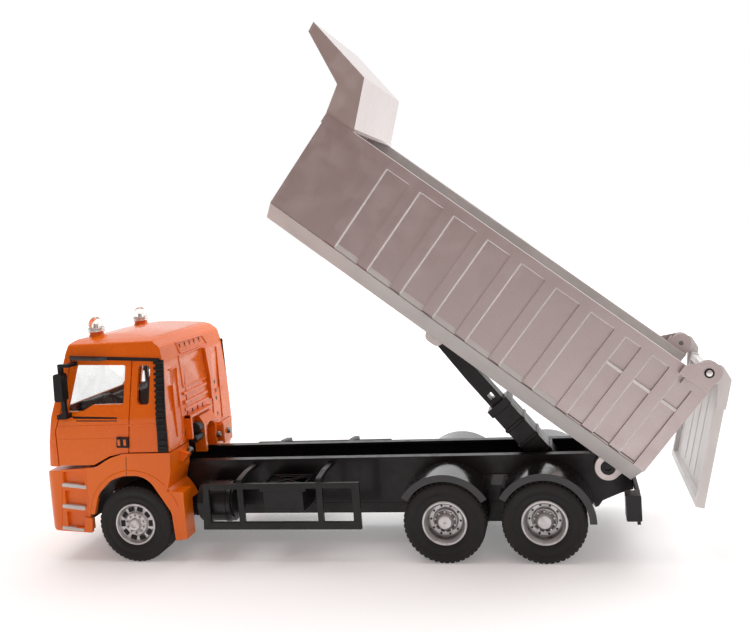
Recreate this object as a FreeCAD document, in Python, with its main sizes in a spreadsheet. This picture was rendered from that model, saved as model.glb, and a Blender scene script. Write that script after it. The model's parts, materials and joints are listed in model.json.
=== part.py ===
import FreeCAD, Part
import math
import os

import Sketcher

# Toy dump truck, millimetres. +X forward, +Y the truck's left, +Z up.
# Everything is drawn with x = 0 at the first rear axle; frame_shift then puts the
# origin on the ground under the middle of the bounding box.

doc = FreeCAD.newDocument("dump_truck")
sheet = doc.addObject("Spreadsheet::Sheet", "dims")
V = FreeCAD.Vector

DIMENSIONS = {
    "frame_shift": 31.313,
    "wheelbase": 128.4,
    "tandem_gap": 37.8,
    "tyre_radius": 16.0,
    "rim_radius": 8.8,
    "wheel_face": 35.7,
    "front_tyre_width": 11.5,
    "rear_tyre_width": 19.4,
    "axle_radius": 1.5,
    "axle_bore_radius": 1.56,
    "axle_reach": 33.0,
    "rail_half_spacing": 14.9,
    "rail_web": 1.5,
    "rail_top": 37.1,
    "rail_bottom": 18.2,
    "under_bottom": 13.6,
    "fender_radius": 19.3,
    "fender_skin": 1.2,
    "fender_lip": 1.5,
    "fender_face": 36.1,
    "guard_face": 35.7,
    "guard_skin": 1.6,
    "bed_hinge_height": 32.2,
    "bed_hinge_back": 62.5,
    "bed_tilt": 38.8,
    "trunnion_radius": 2.74,
    "lug_bore_radius": 2.8,
    "lug_radius": 5.1,
    "bed_length": 171.0,
    "bed_rear": 7.0,
    "bed_floor_under": 5.3,
    "bed_floor_skin": 1.6,
    "board_skin": 2.2,
    "bed_wall_inner": 34.6,
    "bed_wall_outer": 36.4,
    "bed_rail_low": 46.5,
    "bed_rail_top": 50.2,
    "bed_rail_outer": 38.2,
    "rib_width": 4.6,
    "rib_depth": 1.0,
    "gate_drop": 26.5,
    "gate_pivot_back": 2.6,
    "gate_pivot_up": 52.8,
    "gate_pin_radius": 1.0,
    "gate_bore_radius": 1.06,
    "shield_face": 37.0,
    "shield_skin": 1.2,
    "hoist_foot_back": 46.5,
    "hoist_foot_up": 23.5,
    "hoist_head_along": 84.0,
    "hoist_angle": 51.115,
    "hoist_length": 78.79,
    "sleeve_half_width": 7.0,
    "ram_half_width": 4.4,
    "ram_fit": 0.08,
    "hoist_pin_radius": 1.2,
    "hoist_bore_radius": 1.26,
    "cab_half_width": 35.0,
    "cab_skin": 1.5,
    "door_gap": 0.5,
    "glass": 0.8,
    "beacon_spread": 20.8,
    "beacon_forward": 145.2,
    "screw_radius": 1.1,
}

for row, (alias, value) in enumerate(DIMENSIONS.items(), start=1):
    sheet.set("A%d" % row, alias)
    sheet.set("B%d" % row, str(value))
    sheet.setAlias("B%d" % row, alias)
doc.recompute()

D = DIMENSIONS
SKETCH_ROLE = {"XY": "XY_Plane", "XZ": "XZ_Plane", "YZ": "YZ_Plane"}


def bind(target, prop, value):
    """A number is set as it is; a text is a formula on the sheet's names."""
    if isinstance(value, str):
        formula = value
        for alias in sorted(D, key=len, reverse=True):
            formula = formula.replace("{%s}" % alias, "<<dims>>.%s" % alias)
        target.setExpression(prop, formula)
    else:
        holder = target
        parts = prop.split(".")
        for part in parts[:-1]:
            holder = getattr(holder, part)
        setattr(holder, parts[-1], value)


def amount(value):
    """The plain number behind a value or a formula."""
    if not isinstance(value, str):
        return value
    formula = value
    for alias, number in D.items():
        formula = formula.replace("{%s}" % alias, repr(number))
    return FreeCAD.Units.Quantity("(%s) mm" % formula).Value


def corner(before, point, after):
    """Start, middle and end of the arc that rounds one corner of an outline."""
    centre = V(point[0], point[1], 0)
    back = (V(before[0], before[1], 0) - centre).normalize()
    ahead = (V(after[0], after[1], 0) - centre).normalize()
    half = back.getAngle(ahead) / 2
    run = point[2] / math.tan(half)
    towards = (back + ahead).normalize()
    deep = point[2] / math.sin(half) - point[2]
    return centre + back * run, centre + towards * deep, centre + ahead * run


def draw_outline(sketch, points):
    """Adds a closed outline; a third value at a point is its corner radius."""
    starts = []
    ends = []
    count = len(points)
    for index, point in enumerate(points):
        if len(point) == 3:
            first, middle, last = corner(points[index - 1], point, points[(index + 1) % count])
            sketch.addGeometry(Part.Arc(first, middle, last), False)
            starts.append(first)
            ends.append(last)
        else:
            spot = V(point[0], point[1], 0)
            starts.append(spot)
            ends.append(spot)
    for index in range(count):
        first = ends[index]
        last = starts[(index + 1) % count]
        if first.distanceToPoint(last) > 1e-6:
            sketch.addGeometry(Part.LineSegment(first, last), False)


def add_sketch(body, plane, offset, outlines, circles):
    """A sketch on one of the body's own planes, moved along that plane's normal."""
    sketch = body.newObject("Sketcher::SketchObject", body.Name + "_sketch")
    role = SKETCH_ROLE[plane]
    support = [one for one in body.Origin.OriginFeatures if one.Role == role][0]
    sketch.AttachmentSupport = [(support, "")]
    sketch.MapMode = "FlatFace"
    sign = -1 if plane == "XZ" else 1
    if isinstance(offset, str):
        bind(sketch, "AttachmentOffset.Base.z", "%d * (%s)" % (sign, offset))
    else:
        sketch.AttachmentOffset = FreeCAD.Placement(V(0, 0, sign * offset), FreeCAD.Rotation())
    for points in outlines:
        draw_outline(sketch, points)
    for across, up, radius in circles:
        index = sketch.addGeometry(Part.Circle(V(across, up, 0), V(0, 0, 1), amount(radius)), False)
        spot = sketch.addConstraint(Sketcher.Constraint("Radius", index, amount(radius)))
        if isinstance(radius, str):
            bind(sketch, "Constraints[%d]" % spot, radius)
    return sketch


def prism(name, plane, outlines, start, length, circles=()):
    """Outlines (outer one first, then openings) padded along the positive axis."""
    body = doc.addObject("PartDesign::Body", name)
    body.Label = name
    sketch = add_sketch(body, plane, start, outlines, circles)
    pad = body.newObject("PartDesign::Pad", name + "_pad")
    pad.Profile = sketch
    pad.Reversed = plane == "XZ"
    bind(pad, "Length", length)
    body.Tip = pad
    return body


def turned(name, outlines):
    """Outlines in the YZ plane turned about the Y axis."""
    body = doc.addObject("PartDesign::Body", name)
    body.Label = name
    sketch = add_sketch(body, "YZ", 0, outlines, ())
    turn = body.newObject("PartDesign::Revolution", name + "_turn")
    turn.Profile = sketch
    turn.ReferenceAxis = (sketch, ["H_Axis"])
    turn.Angle = 360
    body.Tip = turn
    return body


def block(name, low, size):
    """A box from its low corner."""
    box = doc.addObject("Part::Box", name)
    box.Label = name
    for prop, value in zip(("Length", "Width", "Height"), size):
        bind(box, prop, value)
    for prop, value in zip(("x", "y", "z"), low):
        bind(box, "Placement.Base." + prop, value)
    return box


AXIS_TURN = {
    "X": FreeCAD.Rotation(V(0, 1, 0), 90),
    "Y": FreeCAD.Rotation(V(1, 0, 0), -90),
    "Z": FreeCAD.Rotation(),
}


def rod(name, axis, foot, radius, length):
    """A round bar that starts at foot and runs along an axis."""
    bar = doc.addObject("Part::Cylinder", name)
    bar.Label = name
    bar.Placement = FreeCAD.Placement(V(*[amount(one) for one in foot]), AXIS_TURN[axis])
    bind(bar, "Radius", radius)
    bind(bar, "Height", length)
    return bar


def fuse(name, pieces):
    joined = doc.addObject("Part::MultiFuse", name)
    joined.Label = name
    joined.Shapes = pieces
    joined.Refine = True
    return joined


def group(name, pieces):
    """Separate solids kept side by side in one node."""
    held = doc.addObject("Part::Compound", name)
    held.Label = name
    held.Links = pieces
    return held


def common(name, pieces):
    shared = doc.addObject("Part::MultiCommon", name)
    shared.Label = name
    shared.Shapes = pieces
    return shared


def cut(name, base, tools):
    if len(tools) == 1:
        tool = tools[0]
    else:
        tool = doc.addObject("Part::Compound", name + "_tools")
        tool.Links = tools
    result = doc.addObject("Part::Cut", name)
    result.Label = name
    result.Base = base
    result.Tool = tool
    return result


def mirrored(name, source):
    """The same piece on the other side of the truck."""
    twin = doc.addObject("Part::Mirroring", name)
    twin.Label = name
    twin.Source = source
    twin.Normal = V(0, 1, 0)
    twin.Base = V(0, 0, 0)
    return twin


NODES = {}


def keep(piece, place=None):
    """Registers a finished piece and its place; a mirrored twin follows its source."""
    shift = FreeCAD.Placement(V(-D["frame_shift"], 0, 0), FreeCAD.Rotation())
    place = shift.multiply(place) if place else shift
    if piece.TypeId == "Part::Mirroring":
        place = FreeCAD.Placement()
    NODES[piece.Label] = (piece, place)
    return piece


def bed_place():
    """Where the bed's own frame (along, across, up from its hinge) lies when raised."""
    return FreeCAD.Placement(
        V(-D["bed_hinge_back"], 0, D["bed_hinge_height"]),
        FreeCAD.Rotation(V(0, -1, 0), D["bed_tilt"]),
    )


def gate_place():
    """The tailgate's frame hangs from its pivot on the bed."""
    pivot = FreeCAD.Placement(
        V(-D["gate_pivot_back"], 0, D["gate_pivot_up"]),
        FreeCAD.Rotation(V(0, 1, 0), D["gate_drop"]),
    )
    return bed_place().multiply(pivot)


def hoist_place():
    """The hoist's frame runs from its foot pin toward its head."""
    return FreeCAD.Placement(
        V(-D["hoist_foot_back"], 0, D["hoist_foot_up"]),
        FreeCAD.Rotation(V(0, -1, 0), D["hoist_angle"]),
    )


def wheel_place(x):
    return FreeCAD.Placement(V(x, 0, D["tyre_radius"]), FreeCAD.Rotation())


AXLES = {"front": D["wheelbase"], "mid": 0.0, "rear": -D["tandem_gap"]}


# ------------------------------------------------------------------ wheels

def tyre(name, width):
    """Rubber ring with a crowned tread, cut across by the tread slots."""
    outer = D["wheel_face"] - 0.3
    inner = outer - width
    bead = D["rim_radius"]
    crown = D["tyre_radius"]
    ring = turned(name + "_ring", [[
        (inner, bead), (outer, bead), (outer + 0.3, bead + 2.6, 1.5), (outer - 0.4, crown - 0.8, 0.5),
        (outer - 1.6, crown), (inner + 1.6, crown), (inner + 0.4, crown - 0.8, 0.5),
        (inner - 0.3, bead + 2.6, 1.5),
    ]])
    slot_count = 26
    slot_depth = 0.55
    slots = []
    for index in range(slot_count):
        slot = doc.addObject("Part::Box", name + "_slot")
        slot.Length = 0.9
        slot.Width = width + 2
        slot.Height = 3
        turn = FreeCAD.Rotation(V(0, 1, 0), 360.0 * index / slot_count)
        spot = turn.multVec(V(-0.45, inner - 1, crown - slot_depth))
        slot.Placement = FreeCAD.Placement(spot, turn)
        slots.append(slot)
    return cut(name, ring, slots)


def rear_tyre(name, width):
    """The twin rear tyres are one rubber piece with a groove round its middle."""
    whole = tyre(name + "_whole", width)
    middle = D["wheel_face"] - 0.3 - width / 2
    bead = D["rim_radius"]
    crown = D["tyre_radius"]
    groove = turned(name + "_groove", [[
        (middle - 0.6, bead + 2.2), (middle + 0.6, bead + 2.2),
        (middle + 1.4, crown + 1), (middle - 1.4, crown + 1),
    ]])
    return cut(name, whole, [groove])


def front_rim(name):
    """Flat-faced rim: ring, disc with ten hand holes, nut ring and hub cap."""
    face = D["wheel_face"]
    inner = face - 0.3 - D["front_tyre_width"]
    edge = D["rim_radius"]
    disc = turned(name + "_disc", [[
        (inner, D["axle_radius"]), (inner, edge), (face, edge), (face, edge - 0.8), (face - 1.6, edge - 1.4),
        (face - 1.6, 4.6), (face - 0.5, 4.3), (face - 0.5, 2.6), (face + 1.1, 2.3, 0.3), (face + 1.1, 0.0001),
        (face - 2.7, 0.0001), (face - 2.7, D["axle_radius"]),
    ]])
    holes = []
    for index in range(10):
        turn = math.radians(36 * index + 18)
        spot = (6.1 * math.sin(turn), face - 3.6, 6.1 * math.cos(turn))
        holes.append(rod(name + "_hole", "Y", spot, 0.95, 4.0))
    nuts = []
    for index in range(10):
        turn = math.radians(36 * index)
        spot = (3.4 * math.sin(turn), face - 0.9, 3.4 * math.cos(turn))
        nuts.append(rod(name + "_nut", "Y", spot, 0.42, 0.9))
    return fuse(name, [cut(name + "_drilled", disc, holes)] + nuts)


def rear_rim(name):
    """Deep-dish rim: wide barrel, drilled flange and hub cone."""
    face = D["wheel_face"]
    inner = face - 0.3 - D["rear_tyre_width"]
    edge = D["rim_radius"]
    dish = turned(name + "_dish", [[
        (inner, D["axle_radius"]), (inner, edge), (face, edge), (face, edge - 1.0), (face - 1.4, edge - 1.6),
        (face - 5.0, edge - 2.2), (face - 5.0, 4.6), (face - 2.4, 4.0), (face - 2.4, 3.0),
        (face - 1.4, 2.6, 0.4), (face - 1.4, 0.0001), (face - 2.7, 0.0001), (face - 2.7, D["axle_radius"]),
    ]])
    holes = []
    for index in range(10):
        turn = math.radians(36 * index + 18)
        spot = (5.6 * math.sin(turn), face - 6.0, 5.6 * math.cos(turn))
        holes.append(rod(name + "_hole", "Y", spot, 0.4, 2.0))
    nuts = []
    for index in range(10):
        turn = math.radians(36 * index)
        spot = (4.5 * math.sin(turn), face - 5.2, 4.5 * math.cos(turn))
        nuts.append(rod(name + "_nut", "Y", spot, 0.42, 1.1))
    return fuse(name, [cut(name + "_drilled", dish, holes)] + nuts)


def make_wheels():
    for place_name, x in AXLES.items():
        place = wheel_place(x)
        length = "2 * ({wheel_face} - 2.7)"
        keep(rod("axle_" + place_name, "Y", (0, "-({wheel_face} - 2.7)", 0), "{axle_radius}", length), place)
        if place_name == "front":
            left_tyre = tyre("tyre_front_left", D["front_tyre_width"])
            left_rim = front_rim("rim_front_left")
        else:
            left_tyre = rear_tyre("tyre_%s_left" % place_name, D["rear_tyre_width"])
            left_rim = rear_rim("rim_%s_left" % place_name)
        keep(left_tyre, place)
        keep(left_rim, place)
        keep(mirrored("tyre_%s_right" % place_name, left_tyre), place)
        keep(mirrored("rim_%s_right" % place_name, left_rim), place)


# ----------------------------------------------------------------- chassis

TRAY_SCREWS = (30.0, 85.0)


def make_frame():
    """Two channel rails with cross members and the bed's trunnions, one black moulding."""
    hinge = (-D["bed_hinge_back"], D["bed_hinge_height"])
    side = [
        (158, 24), (158, 37.1), (-63.5, 37.1, 4), (-67.2, 32, 3), (-71.8, 27.2),
        (-71.8, 22.6), (-67.0, 21.2), (-60, 18.2), (112, 18.2), (118, 24),
    ]
    web = prism("rail_web_left", "XZ", [side], "{rail_half_spacing} - {rail_web}", "{rail_web}")
    top = block("rail_top_left", (-56, 11.0, "{rail_top} - 1.2"), (213.9, 3.9, 1.2))
    low = block("rail_low_left", (-56, 11.6, "{rail_bottom}"), (167, 3.2, 1.2))
    trunnion = rod("trunnion_left", "Y", (hinge[0], 14, hinge[1]), "{trunnion_radius}", 4.1)
    boss_hole = rod("trunnion_dimple", "Y", (hinge[0], 17.3, hinge[1]), 1.3, 2)
    near = cut("rail_left", fuse("rail_left_solid", [web, top, low, trunnion]), [boss_hole])
    far = mirrored("rail_right", near)
    members = []
    member_spans = [(-71.8, 2.0, 22.8, 26.8), (-58.0, 2.4, 19.0, 26.0), (-25.5, 3.0, 18.4, 20.6),
                    (14.0, 3.0, 18.4, 26.4), (60.0, 3.0, 18.4, 28.4), (100.0, 4.0, 24.0, 32.4),
                    (150.0, 5.0, 25.0, 36.0)]
    for index, (x, wide, low_z, high_z) in enumerate(member_spans):
        member = block("cross_member", (x, -13.6, low_z), (wide, 27.2, high_z - low_z))
        members.append(member)
    foot = ("-{hoist_foot_back}", -16, "{hoist_foot_up}")
    holes = [rod("hoist_pin_hole", "Y", foot, "{hoist_pin_radius}", 32)]
    for x in TRAY_SCREWS:
        members.append(block("tray_tie", (x - 3, -13.6, 18.2), (6, 27.2, 1.6)))
        holes.append(rod("tray_tie_hole", "Z", (x, 0, 17), "{screw_radius}", 4))
    keep(cut("chassis_frame", fuse("frame_solid", [near, far] + members), holes))


def make_underframe():
    """Lower tray screwed under the rails; it carries the three axles."""
    outline = [(146, 13.6), (146, 17.4), (118, 17.4), (112, 17.9), (-60, 17.9), (-58.4, 15.7), (-52, 13.6)]
    near = prism("under_side_left", "XZ", [outline], 11.4, 2.8)
    far = mirrored("under_side_right", near)
    plate = block("under_plate", (-50, -11.5, 13.6), (194, 23, 1.2))
    bosses = []
    bores = []
    for x in AXLES.values():
        for y in (-14.2, 11.0):
            bosses.append(rod("axle_boss", "Y", (x, y, D["tyre_radius"]), 3.3, 3.2))
        bores.append(rod("axle_bore", "Y", (x, -20, D["tyre_radius"]), "{axle_bore_radius}", 40))
        bores.append(block("axle_relief", (x - 3.6, -11.0, 12.0), (7.2, 22.0, 6.5)))
    trims = [block("under_trim", (-60, -15, 18.0), (220, 30, 6))]
    holes = []
    for x in TRAY_SCREWS:
        holes.append(rod("tray_screw_hole", "Z", (x, 0, 10), "{screw_radius}", 8))
    solid = fuse("underframe_solid", [near, far, plate] + bosses)
    keep(cut("underframe", solid, bores + trims + holes))
    posts = []
    for x in TRAY_SCREWS:
        post = fuse("tray_screw_one", [
            rod("tray_screw_shank", "Z", (x, 0, 13.2), "{screw_radius}", 5.0),
            rod("tray_screw_head", "Z", (x, 0, 12.3), 2.1, 1.3),
        ])
        slot = block("tray_screw_slot", (x - 1.5, -0.25, 12.0), (3.0, 0.5, 0.8))
        posts.append(cut("tray_screw", post, [slot]))
    keep(group("tray_screws", posts))


def arc_points(x, z, radius, first, last, steps):
    spots = []
    for index in range(steps + 1):
        turn = math.radians(first + (last - first) * index / steps)
        spots.append((x + radius * math.cos(turn), z + radius * math.sin(turn)))
    return spots


def fender_arch(name, x, first, last):
    """A curved skin over one wheel with a turned-down lip at its outer face."""
    z = D["tyre_radius"]
    outside = D["fender_radius"]
    inside = outside - D["fender_skin"]
    lip_depth = D["fender_lip"]
    skin = prism(name + "_skin", "XZ", [
        arc_points(x, z, outside, first, last, 24) + arc_points(x, z, inside, last, first, 24),
    ], 15.2, "{fender_face} - 15.2")
    lip = prism(name + "_lip", "XZ", [
        arc_points(x, z, outside, first, last, 24) + arc_points(x, z, inside - lip_depth, last, first, 24),
    ], "{fender_face} - 1.0", 1.0)
    return [skin, lip]


def make_fenders():
    pieces = fender_arch("fender_mid", AXLES["mid"], 33, 150)
    pieces += fender_arch("fender_back", AXLES["rear"], 31, 181)
    web = prism("fender_web", "XZ", [[(14, 25), (-54, 25), (-50, 29.5), (14, 29.5)]], 14.9, 0.8)
    left = fuse("fenders_left", pieces + [web])
    keep(left)
    keep(mirrored("fenders_right", left))


def make_guards():
    """Side under-run guard: two long bars, four posts and two bent arms to the frame."""
    face = "{guard_face} - {guard_skin}"
    outer = [(32.6, 13.8), (98.4, 13.8), (97.2, 32.6), (32.6, 32.6)]
    bays = [
        [(35.6, 16.8), (47.6, 16.8), (47.6, 30.4), (35.6, 30.4)],
        [(50.0, 16.8), (80.4, 16.8), (80.4, 30.4), (50.0, 30.4)],
        [(82.8, 16.8), (95.0, 16.8), (95.0, 30.4), (82.8, 30.4)],
    ]
    panel = prism("guard_panel", "XZ", [outer] + bays, face, "{guard_skin}")
    arms = []
    for x in (48.9, 81.8):
        arm = prism("guard_arm", "YZ", [[
            (14.9, 33.8), (21.6, 33.8), (25.6, 33.8, 1.5), (34.1, 31.6), (35.7, 31.6), (35.7, 34.4, 1.6),
            (26.0, 35.4, 1.5), (14.9, 35.4),
        ]], x - 1.1, 2.2)
        arms.append(arm)
    left = fuse("side_guard_left", [panel] + arms)
    keep(left)
    keep(mirrored("side_guard_right", left))


def make_side_boxes():
    """Air tank and battery box hung on each side of the frame."""
    tank = fuse("tank_solid", [
        rod("tank_shell", "X", (87.6, 25.2, 22.8), 8.2, 13.6),
        rod("tank_cap_front", "X", (101.0, 25.2, 22.8), 6.8, 0.9),
        rod("tank_cap_rear", "X", (86.9, 25.2, 22.8), 6.8, 0.9),
        block("tank_mount", (90, 14.9, 20), (8, 6, 8)),
    ])
    straps = []
    for x in (89.4, 97.4):
        straps.append(rod("tank_strap", "X", (x, 25.2, 22.8), 8.5, 1.4))
    left_tank = fuse("air_tank_left", [tank] + straps)
    keep(left_tank)
    box = block("battery_case", (57.2, 14.9, 19.0), (16.8, 15.4, 8.8))
    lid = block("battery_lid", (55.6, 14.9, 27.8), (19.4, 16.2, 2.2))
    ribs = []
    for turn in (-1, 1):
        rib = prism("battery_lid_rib", "XY", [[
            (57.0, 23 - 6.6 * turn - 0.5), (73.6, 23 + 6.6 * turn - 0.5),
            (73.6, 23 + 6.6 * turn + 0.5), (57.0, 23 - 6.6 * turn + 0.5),
        ]], 29.6, 1.2)
        ribs.append(rib)
    frame_outline = [(56.0, 15.4), (74.6, 15.4), (74.6, 30.7), (56.0, 30.7)]
    frame_inner = [(57.0, 16.4), (73.6, 16.4), (73.6, 29.7), (57.0, 29.7)]
    rim = prism("battery_lid_rim", "XY", [frame_outline, frame_inner], 29.6, 1.2)
    left_box = fuse("battery_box_left", [box, lid, rim] + ribs)
    keep(left_box)
    fuel = [
        prism("fuel_tank_body", "YZ", [[
            (-14.9, 14.6, 1), (-32.4, 14.6, 3), (-32.4, 29.6, 3), (-14.9, 29.6, 1),
        ]], 56.8, 42.0),
        rod("fuel_tank_neck", "Z", (88, -25, 29.4), 2.6, 1.8),
        rod("fuel_tank_cap", "Z", (88, -25, 31.0), 3.1, 1.3),
    ]
    for x in (64.0, 82.0):
        fuel.append(prism("fuel_tank_strap", "YZ", [[
            (-14.9, 14.2, 1), (-32.8, 14.2, 3.3), (-32.8, 30.0, 3.3), (-14.9, 30.0, 1),
        ]], x, 2.4))
    keep(fuse("fuel_tank_right", fuel))


def make_tail():
    """Rear cross bar with a lamp housing at each end."""
    bar = block("tail_bar_beam", (-73.2, -30.0, 23.0), (1.3, 60.0, 3.4))
    lamp = prism("lamp_left_case", "XZ", [[(-73.2, 16.6, 0.6), (-67.6, 16.6, 0.6), (-67.6, 26.4, 0.6),
                                           (-73.2, 26.4, 0.6)]], 28.6, 7.0)
    tab = block("lamp_left_tab", (-72.8, 31, 14.6), (1.2, 2.2, 2.2))
    pair = fuse("lamp_left", [lamp, tab])
    keep(fuse("tail_bar", [bar, pair, mirrored("lamp_right", pair)]))


# --------------------------------------------------------------------- cab

CAB_SIDE = [
    (110.2, 46.2), (111.0, 82.0, 1), (112.2, 88.5, 3), (117.0, 92.6, 6), (135.0, 94.6, 30), (152.0, 92.8, 3),
    (154.0, 88.2, 3), (161.8, 62.2, 3), (164.2, 51.0, 5), (165.6, 40.8), (144.2, 40.8), (137.0, 44.6, 4),
    (131.0, 46.2, 3),
]
DOOR_EDGE = [
    (160.3, 41.2), (160.3, 56.0, 4), (157.4, 63.0, 4), (151.6, 85.0, 1.5), (124.6, 84.2, 0.6),
    (128.6, 46.0, 0.6), (131.4, 45.9, 2), (137.2, 44.8, 4), (144.6, 41.2, 2),
]
DOOR_WINDOW = [
    (149.3, 82.9, 1.2), (127.4, 82.0, 0.8), (129.1, 66.3, 0.8), (142.6, 66.4, 1), (147.3, 63.9, 1),
    (154.5, 63.8, 1),
]
QUARTER_WINDOW = [(121.7, 81.9, 1.8), (116.5, 81.7, 1.8), (117.9, 65.6, 1.8), (123.3, 65.7, 1.8)]


def moved_in(points, centre, inset):
    """The same outline drawn nearer its centre by about the inset on every side."""
    span_u = max(one[0] for one in points) - min(one[0] for one in points)
    span_v = max(one[1] for one in points) - min(one[1] for one in points)
    scale_u = 1 - 2 * inset / span_u
    scale_v = 1 - 2 * inset / span_v
    moved = []
    for one in points:
        spot = (centre[0] + (one[0] - centre[0]) * scale_u, centre[1] + (one[1] - centre[1]) * scale_v)
        moved.append(spot + tuple(one[2:]))
    return moved


def cab_front_outline(half, top):
    """Front view of the cab: upright sides, leaning in above the window line, crowned roof."""
    lean = half - 35.0
    right = [(35.0, 36.0), (35.0, 60.0, 12), (31.5, 91.2, 1.6), (22.0, top, 14)]
    points = [(one[0] + lean,) + one[1:] for one in right]
    return points + [(-one[0],) + tuple(one[1:]) for one in reversed(points)]


def cab_top_outline(half, front):
    """Top view of the cab: rounded front corners."""
    return [(105, -half), (front - 0.6, -half, 7), (front + 0.9, 0, 90), (front - 0.6, half, 7),
            (105, half)]


def cab_solid(name, inset):
    side = moved_in(CAB_SIDE, (138.4, 67.4), inset) if inset else CAB_SIDE
    half = D["cab_half_width"] - inset
    long_way = prism(name + "_side", "XZ", [side], -half, 2 * half)
    wide_way = prism(name + "_front", "YZ", [cab_front_outline(half, 94.4 - inset)], 100, 70)
    top_way = prism(name + "_top", "XY", [cab_top_outline(half, 168.4 - inset)], 35, 62)
    return common(name, [long_way, wide_way, top_way])


def door_slab(name, inset_from, inset_to, outline):
    """The part of a side outline that lies within a layer of the cab's left wall."""
    outer = prism(name + "_outer", "YZ", [layer_outline(inset_from, inset_to)], 100, 70)
    plan = prism(name + "_plan", "XZ", [outline], 20, 20)
    return common(name, [outer, plan])


def layer_outline(inset_from, inset_to):
    """Front-view section of a layer of the left wall."""
    outside = [(35.0 - inset_from, 38.0), (35.0 - inset_from, 60.0), (31.9 - inset_from, 88.0)]
    inside = [(31.9 - inset_to, 88.0), (35.0 - inset_to, 60.0), (35.0 - inset_to, 38.0)]
    return outside + inside


def make_cab():
    outer = cab_solid("cab_outer", 0)
    inner = cab_solid("cab_inner", D["cab_skin"])
    floor_cut = block("cab_floor_cut", (111.8, -33.3, 30), (50.0, 66.6, 20))
    door_hole = prism("cab_door_hole", "XZ", [moved_in(DOOR_EDGE, (142.4, 63.1), -D["door_gap"])], 28, 10)
    quarter = prism("cab_quarter_hole", "XZ", [QUARTER_WINDOW], 28, 10)
    sill = prism("cab_sill_trim", "XZ", [[
        (131.5, 38), (160.7, 38), (160.7, 41.6), (144.4, 41.6), (137.0, 45.2), (131.5, 46.3),
    ]], 28, 10)
    sides = [door_hole, quarter, sill]
    sides += [mirrored(one.Label + "_right", one) for one in (door_hole, quarter, sill)]
    shield = prism("cab_windscreen_hole", "YZ", [[
        (-29.0, 64.5, 3), (29.0, 64.5, 3), (26.5, 86.0, 3), (-26.5, 86.0, 3),
    ]], 148, 20)
    slot = prism("cab_grille_hole", "YZ", [[
        (-20.0, 44.0, 2), (20.0, 44.0, 2), (21.0, 57.0, 2), (-21.0, 57.0, 2),
    ]], 160, 10)
    back = []
    for side in (-1, 1):
        low = 13.0 if side > 0 else -25.0
        back.append(prism("cab_back_panel", "YZ", [[
            (low, 62, 1.5), (low + 12.0, 62, 1.5), (low + 12.0, 80, 1.5), (low, 80, 1.5),
        ]], 105, 5.9))
    pedestals = []
    for y in (-D["beacon_spread"], D["beacon_spread"]):
        pedestals.append(rod("beacon_pedestal", "Z", (D["beacon_forward"], y, 89.0), 3.3, 4.9))
    hump = prism("cab_hump", "XZ", [[(106.4, 39.0), (111.4, 39.0), (111.4, 55.2), (108.6, 55.2, 2),
                                     (106.4, 51.0, 2)]], -7.0, 14.0)
    hump_hollow = rod("cab_hump_hollow", "X", (105, 0, 46.0), 5.0, 5.2)
    hump_foot = block("cab_hump_foot", (105, -5.0, 38.9), (5.2, 10.0, 7.1))
    arch = cut("cab_arch", hump, [hump_hollow, hump_foot])
    shell = cut("cab_hollow", outer, [inner, floor_cut] + sides + [shield, slot] + back)
    keep(fuse("cab_shell", [shell, arch] + pedestals))


def make_doors():
    slab = door_slab("door_left_slab", 0.0, 1.5, DOOR_EDGE)
    hole = prism("door_left_hole", "XZ", [DOOR_WINDOW], 28, 10)
    sill = block("door_left_pocket", (131.5, 33.4, 46.5), (22.0, 0.5, 14.0))
    knob = prism("door_left_handle", "XZ", [[
        (127.9, 48.3, 0.8), (133.2, 48.3, 0.8), (133.0, 52.8, 0.8), (127.8, 52.8, 0.8),
    ]], 34.6, 0.9)
    left = fuse("door_left", [cut("door_left_cut", slab, [hole, sill]), knob])
    keep(left)
    keep(mirrored("door_right", left))
    pane = door_slab("door_glass_left", 1.5, 2.3, moved_in(DOOR_WINDOW, (140.9, 73.3), -0.7))
    keep(pane)
    keep(mirrored("door_glass_right", pane))


def make_mirrors():
    """Mirror head on a bent arm fixed to the front of the door frame."""
    head = prism("mirror_head", "XZ", [[
        (151.9, 69.2, 1), (155.7, 69.2, 1), (155.3, 80.6, 1), (151.7, 80.6, 1),
    ]], 36.6, 4.6)
    post = block("mirror_post", (152.3, 37.6, 62.2), (1.7, 1.7, 22.0))
    upper = fuse("mirror_upper_arm", [
        block("mirror_upper_root", (148.8, 31.9, 82.9), (2.6, 7.4, 1.4)),
        block("mirror_upper_end", (148.8, 37.6, 82.9), (5.2, 1.7, 1.4)),
    ])
    lower = block("mirror_lower_arm", (152.3, 34.2, 61.6), (4.2, 5.1, 1.8))
    solid = fuse("mirror_left_solid", [head, post, upper, lower])
    cab_wall = prism("mirror_wall_cut", "YZ", [[(20, 38.0), (35.0, 38.0), (35.0, 60.0), (31.9, 88.0),
                                                (20, 88.0)]], 145, 20)
    left = cut("mirror_left", solid, [cab_wall])
    keep(left)
    keep(mirrored("mirror_right", left))


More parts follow.
